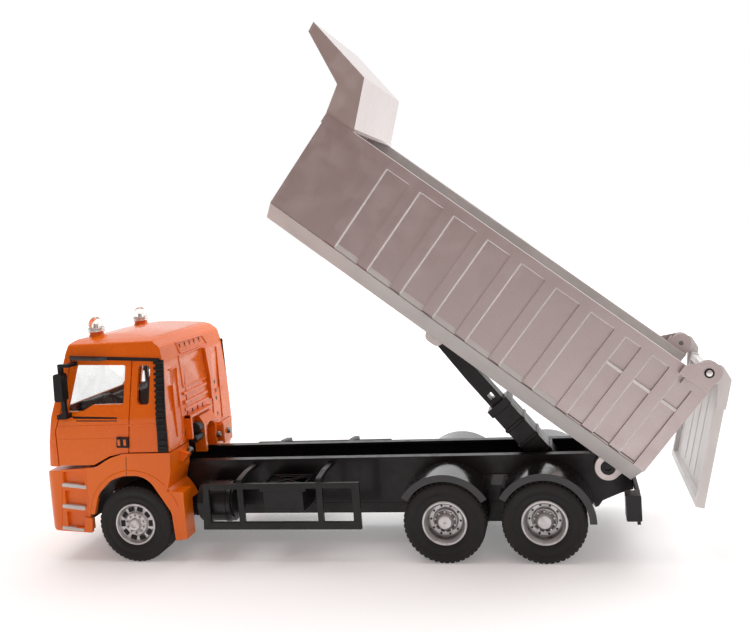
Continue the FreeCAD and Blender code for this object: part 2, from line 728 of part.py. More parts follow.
def make_cab_trim():
    """Windscreen, rear quarter panes, grille, intake strips, lamps and beacons."""
    inner = cab_solid("screen_outer", D["cab_skin"] + 0.1)
    core = cab_solid("screen_inner", D["cab_skin"] + 0.1 + D["glass"])
    zone = prism("screen_zone", "YZ", [[(-30.0, 62.6), (30.0, 62.6), (27.6, 87.6), (-27.6, 87.6)]], 149, 18)
    keep(common("windscreen", [cut("screen_skin", inner, [core]), zone]))
    pane = door_slab("quarter_pane_left", 1.8, 2.5, moved_in(QUARTER_WINDOW, (119.9, 73.7), -0.9))
    keep(group("quarter_panes", [pane, mirrored("quarter_pane_right", pane)]))
    back = prism("grille_back", "YZ", [[
        (-19.8, 44.2, 2), (19.8, 44.2, 2), (20.8, 56.8, 2), (-20.8, 56.8, 2),
    ]], 161.6, 1.6)
    bars = []
    for z in (45.4, 48.2, 51.0, 53.8):
        bars.append(block("grille_bar", (163.0, -19.0, z), (1.4, 38.0, 1.3)))
    keep(fuse("grille", [back] + bars))
    outline = [(110.9, 46.1), (115.3, 46.1), (113.9, 83.6), (110.5, 83.6)]
    strip = door_slab("intake_strip_base", -0.5, 0.0, outline)
    ribs = []
    for index in range(16):
        z = 47.6 + 2.3 * index
        plan = [(111.2, z), (114.8, z), (114.8, z + 1.1), (111.2, z + 1.1)]
        rib = door_slab("intake_rib", -0.9, -0.5, plan)
        ribs.append(rib)
    left = fuse("intake_strip_left", [strip] + ribs)
    keep(left)
    keep(mirrored("intake_strip_right", left))
    for side, sign in (("left", 1), ("right", -1)):
        y = sign * D["beacon_spread"]
        x = D["beacon_forward"]
        collar = rod("beacon_collar_" + side, "Z", (x, y, 93.9), 3.1, 1.7)
        barrel = rod("beacon_barrel_" + side, "Z", (x, y, 95.6), 2.4, 3.0)
        dome = doc.addObject("Part::Sphere", "beacon_dome_" + side)
        dome.Radius = 2.4
        dome.Placement.Base = V(x, y, 98.6)
        keep(fuse("beacon_" + side, [collar, barrel, dome]))


BUMPER_HALF = 35.2
BUMPER_PLAN = [(140, -BUMPER_HALF), (168.2, -BUMPER_HALF, 6), (169.2, 0, 90), (168.2, BUMPER_HALF, 6),
               (140, BUMPER_HALF)]


def make_bumper():
    """Front bumper with the step wells that wrap round both corners."""
    side = [(148.6, 12.4), (166.4, 13.6, 2), (167.8, 28.0, 3), (166.4, 39.0, 1.5), (148.6, 39.9)]
    long_way = prism("bumper_side", "XZ", [side], -BUMPER_HALF, 2 * BUMPER_HALF)
    top_way = prism("bumper_top", "XY", [BUMPER_PLAN], 5, 40)
    hollow = prism("bumper_hollow", "XY", [[
        (140, -33.0), (160.0, -33.0, 7), (164.6, -26.0, 8), (165.2, 0, 80), (164.6, 26.0, 8),
        (160.0, 33.0, 7), (140, 33.0),
    ]], 5, 33.2)
    wells = []
    for low, high in ((32.9, 38.6), (23.6, 30.6), (14.6, 21.6)):
        well = block("step_well", (149.5, 33.6, low), (9.6, 4.0, high - low))
        wells += [well, mirrored("step_well_right", well)]
    lamps = []
    for low in (-30.0, 19.0):
        lamps.append(block("lamp_recess", (163.6, low, 22.0), (6.0, 11.0, 7.5)))
    plate = common("bumper_block", [long_way, top_way])
    backing_left = block("step_backing", (148.6, 31.6, 13.4), (12.0, 2.0, 25.6))
    backing = [backing_left, mirrored("step_backing_right", backing_left)]
    hollowed = cut("bumper_shell", plate, [hollow])
    keep(cut("bumper", fuse("bumper_backed", [hollowed] + backing), wells + lamps))
    for side_name, low in (("left", 19.2), ("right", -29.8)):
        lens = block("headlamp_block_" + side_name, (163.7, low, 22.2), (3.8, 10.6, 7.1))
        trim = prism("headlamp_trim_" + side_name, "XY", [BUMPER_PLAN], 5, 40)
        keep(common("headlamp_" + side_name, [lens, trim]))


def make_wheel_arches():
    """Orange flare over each front wheel, running down into a rear mud panel."""
    x = AXLES["front"]
    z = D["tyre_radius"]
    opening = [(111.0, 9.2), (111.8, 21.0, 8), (121.5, 36.6, 10), (135.5, 36.5, 10), (143.7, 28.9, 8),
               (146.2, 20.4)]
    outline = [
        (148.3, 20.4), (148.3, 40.2), (144.0, 40.2), (137.0, 44.0, 4), (131.0, 45.8, 3), (110.2, 45.8),
        (110.8, 37.0, 2), (113.0, 29.8), (106.0, 29.4), (106.0, 9.8),
    ]
    skin = prism("arch_skin", "XZ", [outline + opening], 33.6, 2.0)
    roof = prism("arch_roof", "XZ", [
        arc_points(x, z, 21.8, 160, 44, 20) + arc_points(x, z, 20.6, 44, 160, 20),
    ], 16.0, 19.0)
    panel = block("mud_panel", (106.0, 27.0, 9.8), (1.4, 7.0, 19.6))
    ledge = block("mud_ledge", (106.0, 27.0, 28.2), (6.8, 7.0, 1.2))
    back = prism("arch_back", "XZ", [[(110.2, 45.8), (110.8, 37.0, 2), (112.9, 29.4), (114.0, 29.4),
                                      (112.2, 37.0, 2), (111.6, 45.8)]], 16.0, 18.0)
    left = fuse("wheel_arch_left", [skin, roof, panel, ledge, back])
    keep(left)
    keep(mirrored("wheel_arch_right", left))


def make_cabin():
    """Black interior: floor pan with dashboard, seats, steering wheel."""
    pan = block("cabin_pan", (112.4, -32.0, 41.0), (46.0, 64.0, 1.6))
    tunnel = block("cabin_tunnel", (112.4, -9.0, 40.4), (46.0, 18.0, 8.9))
    dash = prism("cabin_dash", "XZ", [[(147.0, 42.0), (158.4, 42.0), (158.4, 60.0, 2), (150.0, 65.4, 2),
                                       (146.0, 63.6, 2), (145.4, 56.0, 2)]], -30.5, 61.0)
    binnacle = prism("cabin_binnacle", "XZ", [[(146.2, 63.0), (154.0, 61.0), (152.6, 66.4, 1),
                                               (146.4, 67.2, 1)]], 10.0, 17.0)
    keep(fuse("cabin_tub", [pan, tunnel, dash, binnacle]))
    seats = []
    for y in (-26.5, 10.5):
        cushion = prism("seat_cushion", "XZ", [[
            (122.0, 42.6), (137.0, 42.6), (138.5, 51.6, 2), (123.0, 50.0, 1),
        ]], y, 16.0)
        back = prism("seat_back", "XZ", [[
            (119.0, 48.0, 1), (124.6, 48.0, 1), (121.4, 76.4, 2), (116.6, 76.0, 2),
        ]], y + 0.6, 14.8)
        seats.append(fuse("seat_one", [cushion, back]))
    keep(group("seats", seats))
    rim = doc.addObject("Part::Torus", "steering_rim")
    rim.Radius1 = 6.4
    rim.Radius2 = 0.75
    hub = rod("steering_hub", "Z", (0, 0, -1.6), 1.9, 2.2)
    column = rod("steering_column", "Z", (0, 0, -5.8), 1.1, 5.2)
    spokes = []
    for turn in (0, 120, 240):
        spoke = doc.addObject("Part::Box", "steering_spoke")
        spoke.Length = 6.2
        spoke.Width = 1.2
        spoke.Height = 0.8
        aim = FreeCAD.Rotation(V(0, 0, 1), turn + 90)
        spoke.Placement = FreeCAD.Placement(aim.multVec(V(0, -0.6, -0.4)), aim)
        spokes.append(spoke)
    wheel = fuse("steering_wheel", [rim, hub, column] + spokes)
    keep(wheel, FreeCAD.Placement(V(140.2, 18.5, 62.0), FreeCAD.Rotation(V(0, 1, 0), -52)))


# --------------------------------------------------------------------- bed

RIB_CENTRES = [135.9, 120.8, 105.5, 90.4, 75.4, 60.1, 45.0, 29.9, 18.5, 6.5]


def make_bed():
    place = bed_place()
    rear = -D["bed_rear"]
    floor = block("floor_plate", (rear, -28.0, "{bed_floor_under}"),
                  ("{bed_length} - {board_skin}", 56.0, "{bed_floor_skin}"))
    keep(floor_ribbed(floor), place)
    wall = prism("bed_wall", "YZ", [[
        (28.0, 3.5), (29.0, 3.5), (36.4, 10.4), (36.4, 46.5), (38.2, 46.5), (38.2, 50.2), (34.6, 50.2),
        (34.6, 12.4), (28.7, 6.9), (28.0, 6.9),
    ]], rear, "{bed_length}")
    ribs = []
    for centre in RIB_CENTRES:
        ribs.append(prism("bed_rib", "YZ", [[(36.0, 10.0), (37.4, 11.0), (37.4, 46.9), (36.0, 46.9)]],
                          "%s - {rib_width} / 2" % centre, "{rib_width}"))
    post = block("bed_rear_post", (rear, 36.0, 10.2), (4.6, 1.4, 36.5))
    dividers = []
    for low, high in ((20.8, 27.6), (8.8, 16.2), (-2.4, 4.2)):
        dividers.append(block("bed_divider", (low, 36.0, 34.2), (high - low, 1.2, 1.4)))
    ear = rod("bed_ear", "Y", (-D["gate_pivot_back"], 36.2, D["gate_pivot_up"]), 4.2, 2.0)
    ear_foot = block("bed_ear_foot", (rear, 36.2, 44.0), (9.6, 2.0, 9.0))
    pivot = (-D["gate_pivot_back"], 30, D["gate_pivot_up"])
    pin_hole = rod("bed_ear_bore", "Y", pivot, "{gate_pin_radius}", 12)
    solid = fuse("bed_side_solid", [wall, post, ear, ear_foot] + ribs + dividers)
    left = cut("bed_side_left", solid, [pin_hole])
    keep(left, place)
    keep(mirrored("bed_side_right", left), place)
    half_board = [(28.0, 5.3), (28.0, 6.9), (28.67, 6.9), (34.6, 12.4), (34.6, 50.2)]
    other_half = [(-y, up) for y, up in reversed(half_board)]
    board = prism("board_plate", "YZ", [half_board + other_half],
                  "{bed_length} - {bed_rear} - {board_skin}", "{board_skin}")
    board_ribs = []
    for y in (-20.0, -1.5, 17.0):
        board_ribs.append(block("board_rib", (163.6, y, 9.0), (1.2, 3.0, 39.0)))
    keep(fuse("bed_headboard", [board] + board_ribs), place)
    make_shield(place)
    make_subframe(place)


def floor_ribbed(plate):
    """Floor with cross ribs, hoist ears and front nose, all between the chassis rails."""
    head = D["hoist_head_along"]
    under = []
    for low in (104.0, 124.0):
        under.append(block("floor_rib", (low, -9.8, 3.2), (3.0, 19.6, 2.2)))
    for y in (-8.6, 6.4):
        under.append(prism("hoist_ear", "XZ", [[(head - 6, 5.4), (head + 6, 5.4), (head + 3.2, -3.0, 2.6),
                                                (head - 3.2, -3.0, 2.6)]], y, 2.2))
    nose = [(141.0, 5.4), (141.0, 3.4), (161.0, 1.0), (165.4, 1.0, 1.0), (165.4, 5.25), (161.75, 5.25),
            (161.6, 5.4)]
    under.append(prism("bed_nose", "XZ", [nose], -9.6, 19.2))
    pin_hole = rod("hoist_head_hole", "Y", (head, -12, 0), "{gate_pin_radius}", 24)
    return cut("bed_floor", fuse("floor_solid", [plate] + under), [pin_hole])


def make_shield(place):
    """Cab shield: leaning back panel, overhanging roof and two side gussets."""
    gusset = [(151.6, 50.2), (164.4, 50.2), (166.8, 61.2), (186.8, 71.0), (187.1, 74.9), (159.5, 68.8)]
    near = prism("shield_gusset_left", "XZ", [gusset], "{shield_face} - {shield_skin}", "{shield_skin}")
    far = mirrored("shield_gusset_right", near)
    roof = prism("shield_roof", "XZ", [[(159.5, 68.8), (187.1, 74.9), (186.95, 73.6), (160.3, 67.6)]],
                 "-{shield_face}", "2 * {shield_face}")
    back = prism("shield_back", "XZ", [[(151.6, 50.2), (153.0, 50.2), (160.8, 67.9), (159.5, 68.8)]],
                 "-{shield_face}", "2 * {shield_face}")
    foot = block("shield_foot", (151.6, -36.9, 50.2), (12.6, 73.8, 1.2))
    keep(fuse("cab_shield", [near, far, roof, back, foot]), place)


def make_subframe(place):
    """Hinge lugs and the hoist bracket under the floor."""
    lug_plate = [(-7.0, 5.3), (16.0, 5.3), (12.0, 3.6), (5.2, 3.4), (5.0, -0.6), (-5.0, -0.6), (-5.6, 2.4)]
    web = prism("lug_web", "XZ", [lug_plate], 15.3, 2.9)
    ring = rod("lug_ring", "Y", (0, 15.3, 0), "{lug_radius}", 2.9)
    bore = rod("lug_bore", "Y", (0, 14, 0), "{lug_bore_radius}", 6)
    near = cut("hinge_lug_left", fuse("lug_solid", [web, ring]), [bore])
    far = mirrored("hinge_lug_right", near)
    beam = prism("hinge_beam", "XZ", [[(-7.0, 3.7), (-2.0, 3.7), (-2.0, 5.3), (-7.0, 5.3)]], -18.2, 36.4)
    keep(fuse("hinge_bracket", [near, far, beam]), place)
    head = D["hoist_head_along"]
    keep(rod("hoist_head_pin", "Y", (head, -8.9, 0), "{gate_pin_radius}", 17.8), place)


def make_tailgate():
    """Flanged gate hung from arms outside the bed's rear ears."""
    place = gate_place()
    low = -(D["gate_pivot_up"] - 3.4)
    face = block("gate_face", (-7.9, -36.8, low), (1.3, 73.6, 46.2 - 0.4))
    flanges = [
        block("gate_flange_low", (-7.9, -36.8, low), (3.1, 73.6, 2.6)),
        block("gate_flange_top", (-7.9, -36.8, low + 43.4), (3.1, 73.6, 2.4)),
        block("gate_flange_left", (-7.9, 34.2, low), (3.1, 2.6, 45.8)),
        block("gate_flange_right", (-7.9, -36.8, low), (3.1, 2.6, 45.8)),
    ]
    ribs = []
    for y in (-19.2, -1.2, 16.8):
        ribs.append(block("gate_rib", (-8.9, y, low + 2), (1.2, 2.4, 42.0)))
    arm = prism("gate_arm", "XZ", [[(-7.9, -12.0, 1), (-4.8, -12.0), (-3.6, -3.4), (3.2, -3.2, 3.0),
                                    (3.2, 3.2, 3.0), (-4.0, 3.4, 2), (-7.9, -1.0, 2)]], 38.5, 1.3)
    foot = block("gate_arm_foot", (-7.9, 34.4, -12.0), (3.0, 5.0, 8.8))
    bore = rod("gate_arm_bore", "Y", (0, 36, 0), "{gate_bore_radius}", 6)
    near = cut("gate_arm_left", fuse("gate_arm_solid", [arm, foot]), [bore])
    arms = [near, mirrored("gate_arm_right", near)]
    keep(fuse("tailgate", [face] + flanges + ribs + arms), place)
    shank = rod("gate_pin_shank", "Y", (0, 36.2, 0), "{gate_pin_radius}", 3.8)
    head = rod("gate_pin_head", "Y", (0, 40.0, 0), 1.7, 0.5)
    one = fuse("gate_pin_left", [shank, head])
    pins = [one, mirrored("gate_pin_right", one)]
    keep(group("gate_pins", pins), place)


def make_hoist():
    """Telescopic hoist: a box sleeve on a foot pin and a ram with an eye at its head."""
    place = hoist_place()
    wide = D["sleeve_half_width"]
    body = prism("sleeve_body", "XZ", [[
        (5.0, -4.4, 1.2), (41.0, -4.4, 0.4), (41.0, 4.4, 0.4), (5.0, 4.4, 1.2),
    ]], -wide, 2 * wide)
    collar = block("sleeve_collar", (38.4, -wide - 0.7, -5.0), (3.4, 2 * wide + 1.4, 10.0))
    ribs = []
    for x in (14.0, 22.0, 30.0):
        ribs.append(block("sleeve_rib", (x, -wide - 0.4, -4.8), (1.4, 2 * wide + 0.8, 9.6)))
    eye = rod("sleeve_eye", "Y", (0, -wide, 0), 4.0, 2 * wide)
    neck = block("sleeve_neck", (0, -wide, -3.6), (6.0, 2 * wide, 7.2))
    half = D["ram_half_width"] + D["ram_fit"]
    slot = block("sleeve_slot", (7.5, -half, -3.1 - D["ram_fit"]), (40.0, 2 * half, 6.2 + 2 * D["ram_fit"]))
    bore = rod("sleeve_bore", "Y", (0, -wide - 1, 0), "{hoist_bore_radius}", 2 * wide + 2)
    solid = fuse("sleeve_solid", [body, collar, eye, neck] + ribs)
    keep(cut("hoist_sleeve", solid, [slot, bore]), place)
    reach = D["hoist_length"]
    blade = prism("ram_blade", "XZ", [[(19.0, -3.1), (reach - 22, -3.1), (reach - 2, -2.4), (reach - 2, 2.4),
                                       (reach - 22, 3.1), (19.0, 3.1)]], -D["ram_half_width"],
                  2 * D["ram_half_width"])
    head = rod("ram_eye", "Y", (reach, -D["ram_half_width"], 0), 3.7, 2 * D["ram_half_width"])
    window = block("ram_window", (44.2, -6, -1.2), (2.6, 12, 2.4))
    head_bore = rod("ram_eye_bore", "Y", (reach, -6, 0), 2.7, 12)
    keep(cut("hoist_ram", fuse("ram_solid", [blade, head]), [window, head_bore]), place)
    foot_pin = rod("hoist_foot_pin", "Y", (-D["hoist_foot_back"], -14.9, D["hoist_foot_up"]),
                   "{hoist_pin_radius}", "2 * {rail_half_spacing}")
    keep(foot_pin)


make_wheels()
make_frame()
make_underframe()
make_fenders()
make_guards()
make_side_boxes()
make_tail()
make_cab()
make_doors()
make_mirrors()
make_cab_trim()
make_bumper()
make_wheel_arches()
make_cabin()
make_bed()
make_tailgate()
make_hoist()

doc.recompute()
for piece, place in NODES.values():
    piece.Placement = place.multiply(piece.Placement)
doc.recompute()

for one in doc.Objects:
    if "Invalid" in one.State or "Error" in one.State:
        raise RuntimeError("%s is in state %s" % (one.Label, one.State))

os.makedirs("parts", exist_ok=True)
for stale in os.listdir("parts"):
    if stale.endswith(".step") and stale[:-5] not in NODES:
        os.remove(os.path.join("parts", stale))
whole = FreeCAD.BoundBox()
for label, (piece, place) in NODES.items():
    shape = piece.Shape
    if shape.isNull() or not shape.isValid() or not shape.Solids:
        raise RuntimeError("%s has no sound shape" % label)
    whole.add(shape.BoundBox)
    shape.exportStep("parts/%s.step" % label)
    print("%-20s solids %d volume %9.2f" % (label, len(shape.Solids), shape.Volume))
print("pieces", len(NODES))
print("box", whole)
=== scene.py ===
import json
import math

import bmesh
import bpy
from mathutils import Matrix, Vector
from mathutils.bvhtree import BVHTree


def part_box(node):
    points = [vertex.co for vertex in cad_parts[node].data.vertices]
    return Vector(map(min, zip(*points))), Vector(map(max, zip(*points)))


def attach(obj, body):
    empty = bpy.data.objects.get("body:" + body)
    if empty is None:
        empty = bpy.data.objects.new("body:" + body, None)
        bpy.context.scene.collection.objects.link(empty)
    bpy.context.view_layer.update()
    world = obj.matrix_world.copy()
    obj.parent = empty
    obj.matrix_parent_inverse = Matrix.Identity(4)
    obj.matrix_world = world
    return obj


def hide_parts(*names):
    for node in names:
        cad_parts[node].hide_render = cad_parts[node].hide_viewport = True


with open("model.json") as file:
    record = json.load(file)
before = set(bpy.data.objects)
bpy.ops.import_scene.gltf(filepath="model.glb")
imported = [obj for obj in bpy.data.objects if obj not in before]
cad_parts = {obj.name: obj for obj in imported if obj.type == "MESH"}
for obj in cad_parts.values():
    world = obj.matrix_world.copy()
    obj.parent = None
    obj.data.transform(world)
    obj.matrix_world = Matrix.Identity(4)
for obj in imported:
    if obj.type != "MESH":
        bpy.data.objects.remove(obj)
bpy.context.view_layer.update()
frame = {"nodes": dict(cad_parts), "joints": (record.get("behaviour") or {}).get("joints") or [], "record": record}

# Lengths below are millimetres in the truck's own layout: x runs forward from the first
# rear axle, y to the truck's left, z up from the ground. TRUCK turns them into metres; BED
# and GATE do the same from their own hinges.

MM = 0.001
low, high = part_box("axle_mid")
AXLE_X = (low.x + high.x) / 2
JOINTS = {joint["name"]: joint for joint in frame["joints"]}
BED_TILT = 38.8
GATE_DROP = 26.5


def place_at(spot, turn):
    """A local frame in millimetres at a spot given in metres, tipped about the cross axis."""
    tip = Matrix.Rotation(math.radians(-turn), 4, "Y")
    return Matrix.Translation(spot) @ tip @ Matrix.Scale(MM, 4)


TRUCK = place_at((AXLE_X, 0, 0), 0)
BED = place_at(JOINTS["bed_tilt"]["pos_m"], BED_TILT)
GATE = place_at(JOINTS["tailgate_swing"]["pos_m"], BED_TILT - GATE_DROP)


# ------------------------------------------------------------------ node writing


class Wire:
    """A number coming out of a shader socket, with the usual arithmetic."""

    def __init__(self, look, socket):
        self.look = look
        self.socket = socket

    def _with(self, operation, other, flip=False):
        first, second = (other, self) if flip else (self, other)
        return self.look.number("ShaderNodeMath", {"operation": operation}, {0: first, 1: second})

    def __add__(self, other):
        return self._with("ADD", other)

    def __radd__(self, other):
        return self._with("ADD", other, True)

    def __sub__(self, other):
        return self._with("SUBTRACT", other)

    def __rsub__(self, other):
        return self._with("SUBTRACT", other, True)

    def __mul__(self, other):
        return self._with("MULTIPLY", other)

    def __rmul__(self, other):
        return self._with("MULTIPLY", other, True)


class Graph:
    """A shader tree, written through one node method."""

    def __init__(self, tree):
        self.nodes = tree.nodes
        self.links = tree.links

    def node(self, kind, settings=None, values=None):
        made = self.nodes.new(kind)
        for key, value in (settings or {}).items():
            setattr(made, key, value)
        for key, value in (values or {}).items():
            if isinstance(value, Wire):
                self.links.new(value.socket, made.inputs[key])
            elif isinstance(value, bpy.types.NodeSocket):
                self.links.new(value, made.inputs[key])
            else:
                made.inputs[key].default_value = value
        return made

    def number(self, kind, settings, values, output=0):
        return Wire(self, self.node(kind, settings, values).outputs[output])

    def letter(self, vector, name):
        """One of a vector's X, Y and Z."""
        return self.number("ShaderNodeSeparateXYZ", {}, {0: vector}, name)

    def ramp(self, value, low, high):
        """Rises smoothly from 0 at low to 1 at high."""
        values = {"Value": value, "From Min": low, "From Max": high}
        return self.number("ShaderNodeMapRange", {"interpolation_type": "SMOOTHSTEP"}, values, "Result")

    def blend(self, factor, first, second):
        """A colour between two others; each is a socket or a plain colour."""
        made = self.node("ShaderNodeMix", {"data_type": "RGBA"}, {"Factor": factor})
        for index, colour in ((6, first), (7, second)):
            if isinstance(colour, bpy.types.NodeSocket):
                self.links.new(colour, made.inputs[index])
            else:
                made.inputs[index].default_value = (*colour[:3], 1)
        return made.outputs[2]


class Look(Graph):
    """One material built on a Principled shader."""

    def __init__(self, name, **constants):
        self.material = bpy.data.materials.new(name)
        self.material.use_nodes = True
        super().__init__(self.material.node_tree)
        self.shader = self.nodes["Principled BSDF"]
        self.where = None
        for socket, value in constants.items():
            self.shader.inputs[socket.replace("_", " ")].default_value = value

    def position(self, scale=(1, 1, 1)):
        """Object coordinates, stretched."""
        if self.where is None:
            self.where = self.node("ShaderNodeTexCoord").outputs["Object"]
        if tuple(scale) == (1, 1, 1):
            return self.where
        return self.node("ShaderNodeMapping", {}, {"Vector": self.where, "Scale": scale}).outputs[0]

    def noise(self, scale, detail, stretch=(1, 1, 1)):
        values = {"Vector": self.position(stretch), "Scale": scale, "Detail": detail, "Roughness": 0.55}
        return self.number("ShaderNodeTexNoise", {}, values, "Fac")

    def cells(self, scale):
        values = {"Vector": self.position(), "Scale": scale}
        return self.number("ShaderNodeTexVoronoi", {"feature": "F1"}, values, "Distance")

    def feed(self, socket, value):
        """Joins a varying value or colour to a named input of the shader."""
        source = value.socket if isinstance(value, Wire) else value
        self.links.new(source, self.shader.inputs[socket])

    def bumps(self, height, distance, strength):
        values = {"Height": height, "Distance": distance, "Strength": strength}
        self.feed("Normal", self.node("ShaderNodeBump", {}, values).outputs[0])


def srgb(red, green, blue):
    """A colour given as 0-255 values, made linear."""
    out = []
    for one in (red, green, blue):
        one = one / 255
        out.append(one / 12.92 if one <= 0.04045 else ((one + 0.055) / 1.055) ** 2.4)
    return tuple(out)


# ------------------------------------------------------------------ materials


def orange_paint(name, deep, light, rough):
    look = Look(name, Metallic=0.0, Coat_Roughness=0.06, Specular_IOR_Level=0.22)
    wide = look.noise(18, 2)
    dust = look.noise(420, 4)
    look.feed("Base Color", look.blend(look.ramp(wide, 0.3, 0.7), deep, light))
    look.feed("Roughness", rough + 0.04 * look.ramp(dust, 0.45, 0.75))
    look.feed("Coat Weight", 0.42 - 0.05 * look.ramp(dust, 0.5, 0.8))
    look.bumps(look.noise(900, 2) + 0.5 * look.noise(240, 2), 0.000004, 0.2)
    return look.material


def silver_paint(name, deep, light, rough=0.34):
    look = Look(name, Coat_Weight=0.15, Coat_Roughness=0.12)
    flake = look.cells(5200)
    cloud = look.noise(14, 3)
    grime = look.noise(130, 5)
    base = look.blend(look.ramp(cloud, 0.3, 0.7), deep, light)
    look.feed("Base Color", look.blend(0.22 * look.ramp(flake, 0.1, 0.5), base, (0.95, 0.95, 0.96)))
    look.feed("Metallic", 0.80 + 0.12 * look.ramp(flake, 0.1, 0.5))
    look.feed("Roughness", rough + 0.14 * look.ramp(grime, 0.4, 0.75))
    look.bumps(look.noise(1500, 2), 0.00002, 0.35)
    return look.material


def plastic(name, deep, light, rough, grain=1400, depth=0.00003, coat=0.0, gloss=0.3):
    look = Look(name, Coat_Weight=coat, Coat_Roughness=0.1, Specular_IOR_Level=gloss)
    cloud = look.noise(40, 3)
    wear = look.noise(310, 5)
    look.feed("Base Color", look.blend(look.ramp(cloud, 0.3, 0.7), deep, light))
    look.feed("Roughness", rough + 0.16 * look.ramp(wear, 0.4, 0.75))
    look.bumps(look.noise(grain, 3), depth, 0.5)
    return look.material


def rubber(name):
    look = Look(name, Specular_IOR_Level=0.35)
    dust = look.noise(95, 5)
    fine = look.noise(1700, 3)
    base = look.blend(look.ramp(dust, 0.42, 0.72), (0.009, 0.009, 0.0095), (0.022, 0.021, 0.020))
    look.feed("Base Color", base)
    look.feed("Roughness", 0.52 + 0.25 * look.ramp(dust, 0.35, 0.7))
    look.bumps(fine, 0.00005, 0.6)
    return look.material


def rim_paint(name):
    look = Look(name, Coat_Weight=0.1)
    grime = look.noise(260, 5)
    flake = look.cells(4200)
    base = look.blend(look.ramp(grime, 0.45, 0.75), (0.60, 0.60, 0.60), (0.40, 0.39, 0.38))
    look.feed("Base Color", look.blend(0.2 * look.ramp(flake, 0.1, 0.5), base, (0.9, 0.9, 0.9)))
    look.feed("Metallic", 0.55 + 0.2 * look.ramp(flake, 0.1, 0.5))
    look.feed("Roughness", 0.33 + 0.2 * look.ramp(grime, 0.4, 0.7))
    look.bumps(look.noise(1800, 2), 0.00002, 0.4)
    return look.material


def steel(name, shade=0.55):
    look = Look(name, Metallic=1.0)
    streak = look.noise(900, 4, stretch=(1, 0.05, 1))
    base = look.blend(streak, (shade * 0.8,) * 3, (shade * 1.15,) * 3)
    look.feed("Base Color", base)
    look.feed("Roughness", 0.22 + 0.2 * streak)
    look.bumps(streak, 0.00001, 0.3)
    return look.material


def clear_plastic(name, tint, rough=0.03):
    look = Look(name, Transmission_Weight=1.0, IOR=1.46)
    smear = look.noise(120, 4)
    look.feed("Base Color", look.blend(look.ramp(smear, 0.4, 0.7), tint, tuple(0.93 * one for one in tint)))
    look.feed("Roughness", rough + 0.05 * look.ramp(smear, 0.5, 0.8))
    return look.material


ORANGE = orange_paint("orange_enamel", srgb(231, 102, 3), srgb(237, 110, 6), 0.26)
ORANGE_PLASTIC = orange_paint("orange_plastic", srgb(231, 105, 4), srgb(239, 114, 8), 0.30)
SILVER = silver_paint("silver_paint", (0.575, 0.50, 0.485), (0.625, 0.55, 0.535))
BLACK = plastic("chassis_black", (0.0060, 0.0058, 0.0066), (0.011, 0.0105, 0.0115), 0.28, coat=0.08)
GUARD_BLACK = plastic("guard_black", (0.009, 0.010, 0.010), (0.017, 0.018, 0.018), 0.34)
TRIM = plastic("trim_black", (0.008, 0.008, 0.009), (0.016, 0.016, 0.017), 0.45)
CABIN = plastic("cabin_black", (0.010, 0.010, 0.011), (0.022, 0.022, 0.024), 0.42, grain=900, depth=0.00006)
FENDER = plastic("fender_black", (0.007, 0.007, 0.008), (0.013, 0.013, 0.014), 0.14, coat=0.6)
RUBBER = rubber("tyre_rubber")
RIM = rim_paint("rim_silver")
STRIPE = plastic("step_silver", (0.62, 0.62, 0.60), (0.72, 0.72, 0.70), 0.35)
STEEL = steel("bright_steel")
DARK_STEEL = steel("dark_screw", 0.22)
GLASS = clear_plastic("clear_glazing", (0.97, 0.99, 0.99))
DOME = clear_plastic("beacon_dome", (0.98, 0.93, 0.88))
LENS = clear_plastic("lamp_lens", (0.96, 0.97, 0.97), 0.08)
CHROME = steel("collar_silver", 0.85)
# dark grey for rings laid in the rear rims' dishes: painted shade
PAINTED_SHADE_STEEL = steel("rim_recess_grey", 0.26)
# a darker, pinker copy of the silver paint for the bed's outer faces: painted shade with a painted warm reflection
SHADED_SIDE_SILVER = silver_paint("bed_side_silver_painted_shade", (0.440, 0.352, 0.348), (0.495, 0.403, 0.398))
# a lighter satin copy of the silver paint for ledges and inner skins: painted light
LIT_SATIN = plastic("satin_silver_painted_light", (0.54, 0.53, 0.52), (0.62, 0.61, 0.60), 0.34, coat=0.3)
# a lighter copy of the silver paint for the tailgate: painted light
LIT_GATE_SILVER = plastic("gate_silver_painted_light", (0.66, 0.65, 0.64), (0.76, 0.75, 0.74), 0.34, coat=0.3)
# bright silver for rib and pressing edges: painted highlights
HIGHLIGHT_SILVER = plastic("painted_highlight_silver", (0.72, 0.71, 0.69), (0.82, 0.81, 0.79), 0.3)
# dark brown-grey laid in panel grooves: painted shade
GROOVE_SHADE = plastic("panel_groove_painted_shade", (0.09, 0.075, 0.065), (0.13, 0.11, 0.10), 0.5)
# black for the doors' printed flash and for painted shade in the back wall's slots
PRINT_AND_SHADE_BLACK = plastic("print_and_painted_shade_black", (0.006, 0.006, 0.006), (0.012, 0.011, 0.010), 0.3)


# ------------------------------------------------------------------ mesh writing


def settle(thing, body, material, bevel=0.0, segments=2, sharp=32, slot=None, stands_for=()):
    """Gives a finished mesh its material, edges, shading and the body it rides on."""
    mesh = thing.data
    if material is not None:
        mesh.materials.clear()
        mesh.materials.append(material)
    mesh.shade_smooth()
    mesh.set_sharp_from_angle(angle=math.radians(sharp))
    if bevel:
        edge = thing.modifiers.new("soft_edges", "BEVEL")
        edge.width = bevel * MM
        edge.segments = segments
        edge.limit_method = "ANGLE"
        edge.angle_limit = math.radians(sharp)
        edge.harden_normals = True
        edge.use_clamp_overlap = True
    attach(thing, body)
    if stands_for:
        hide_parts(*stands_for)


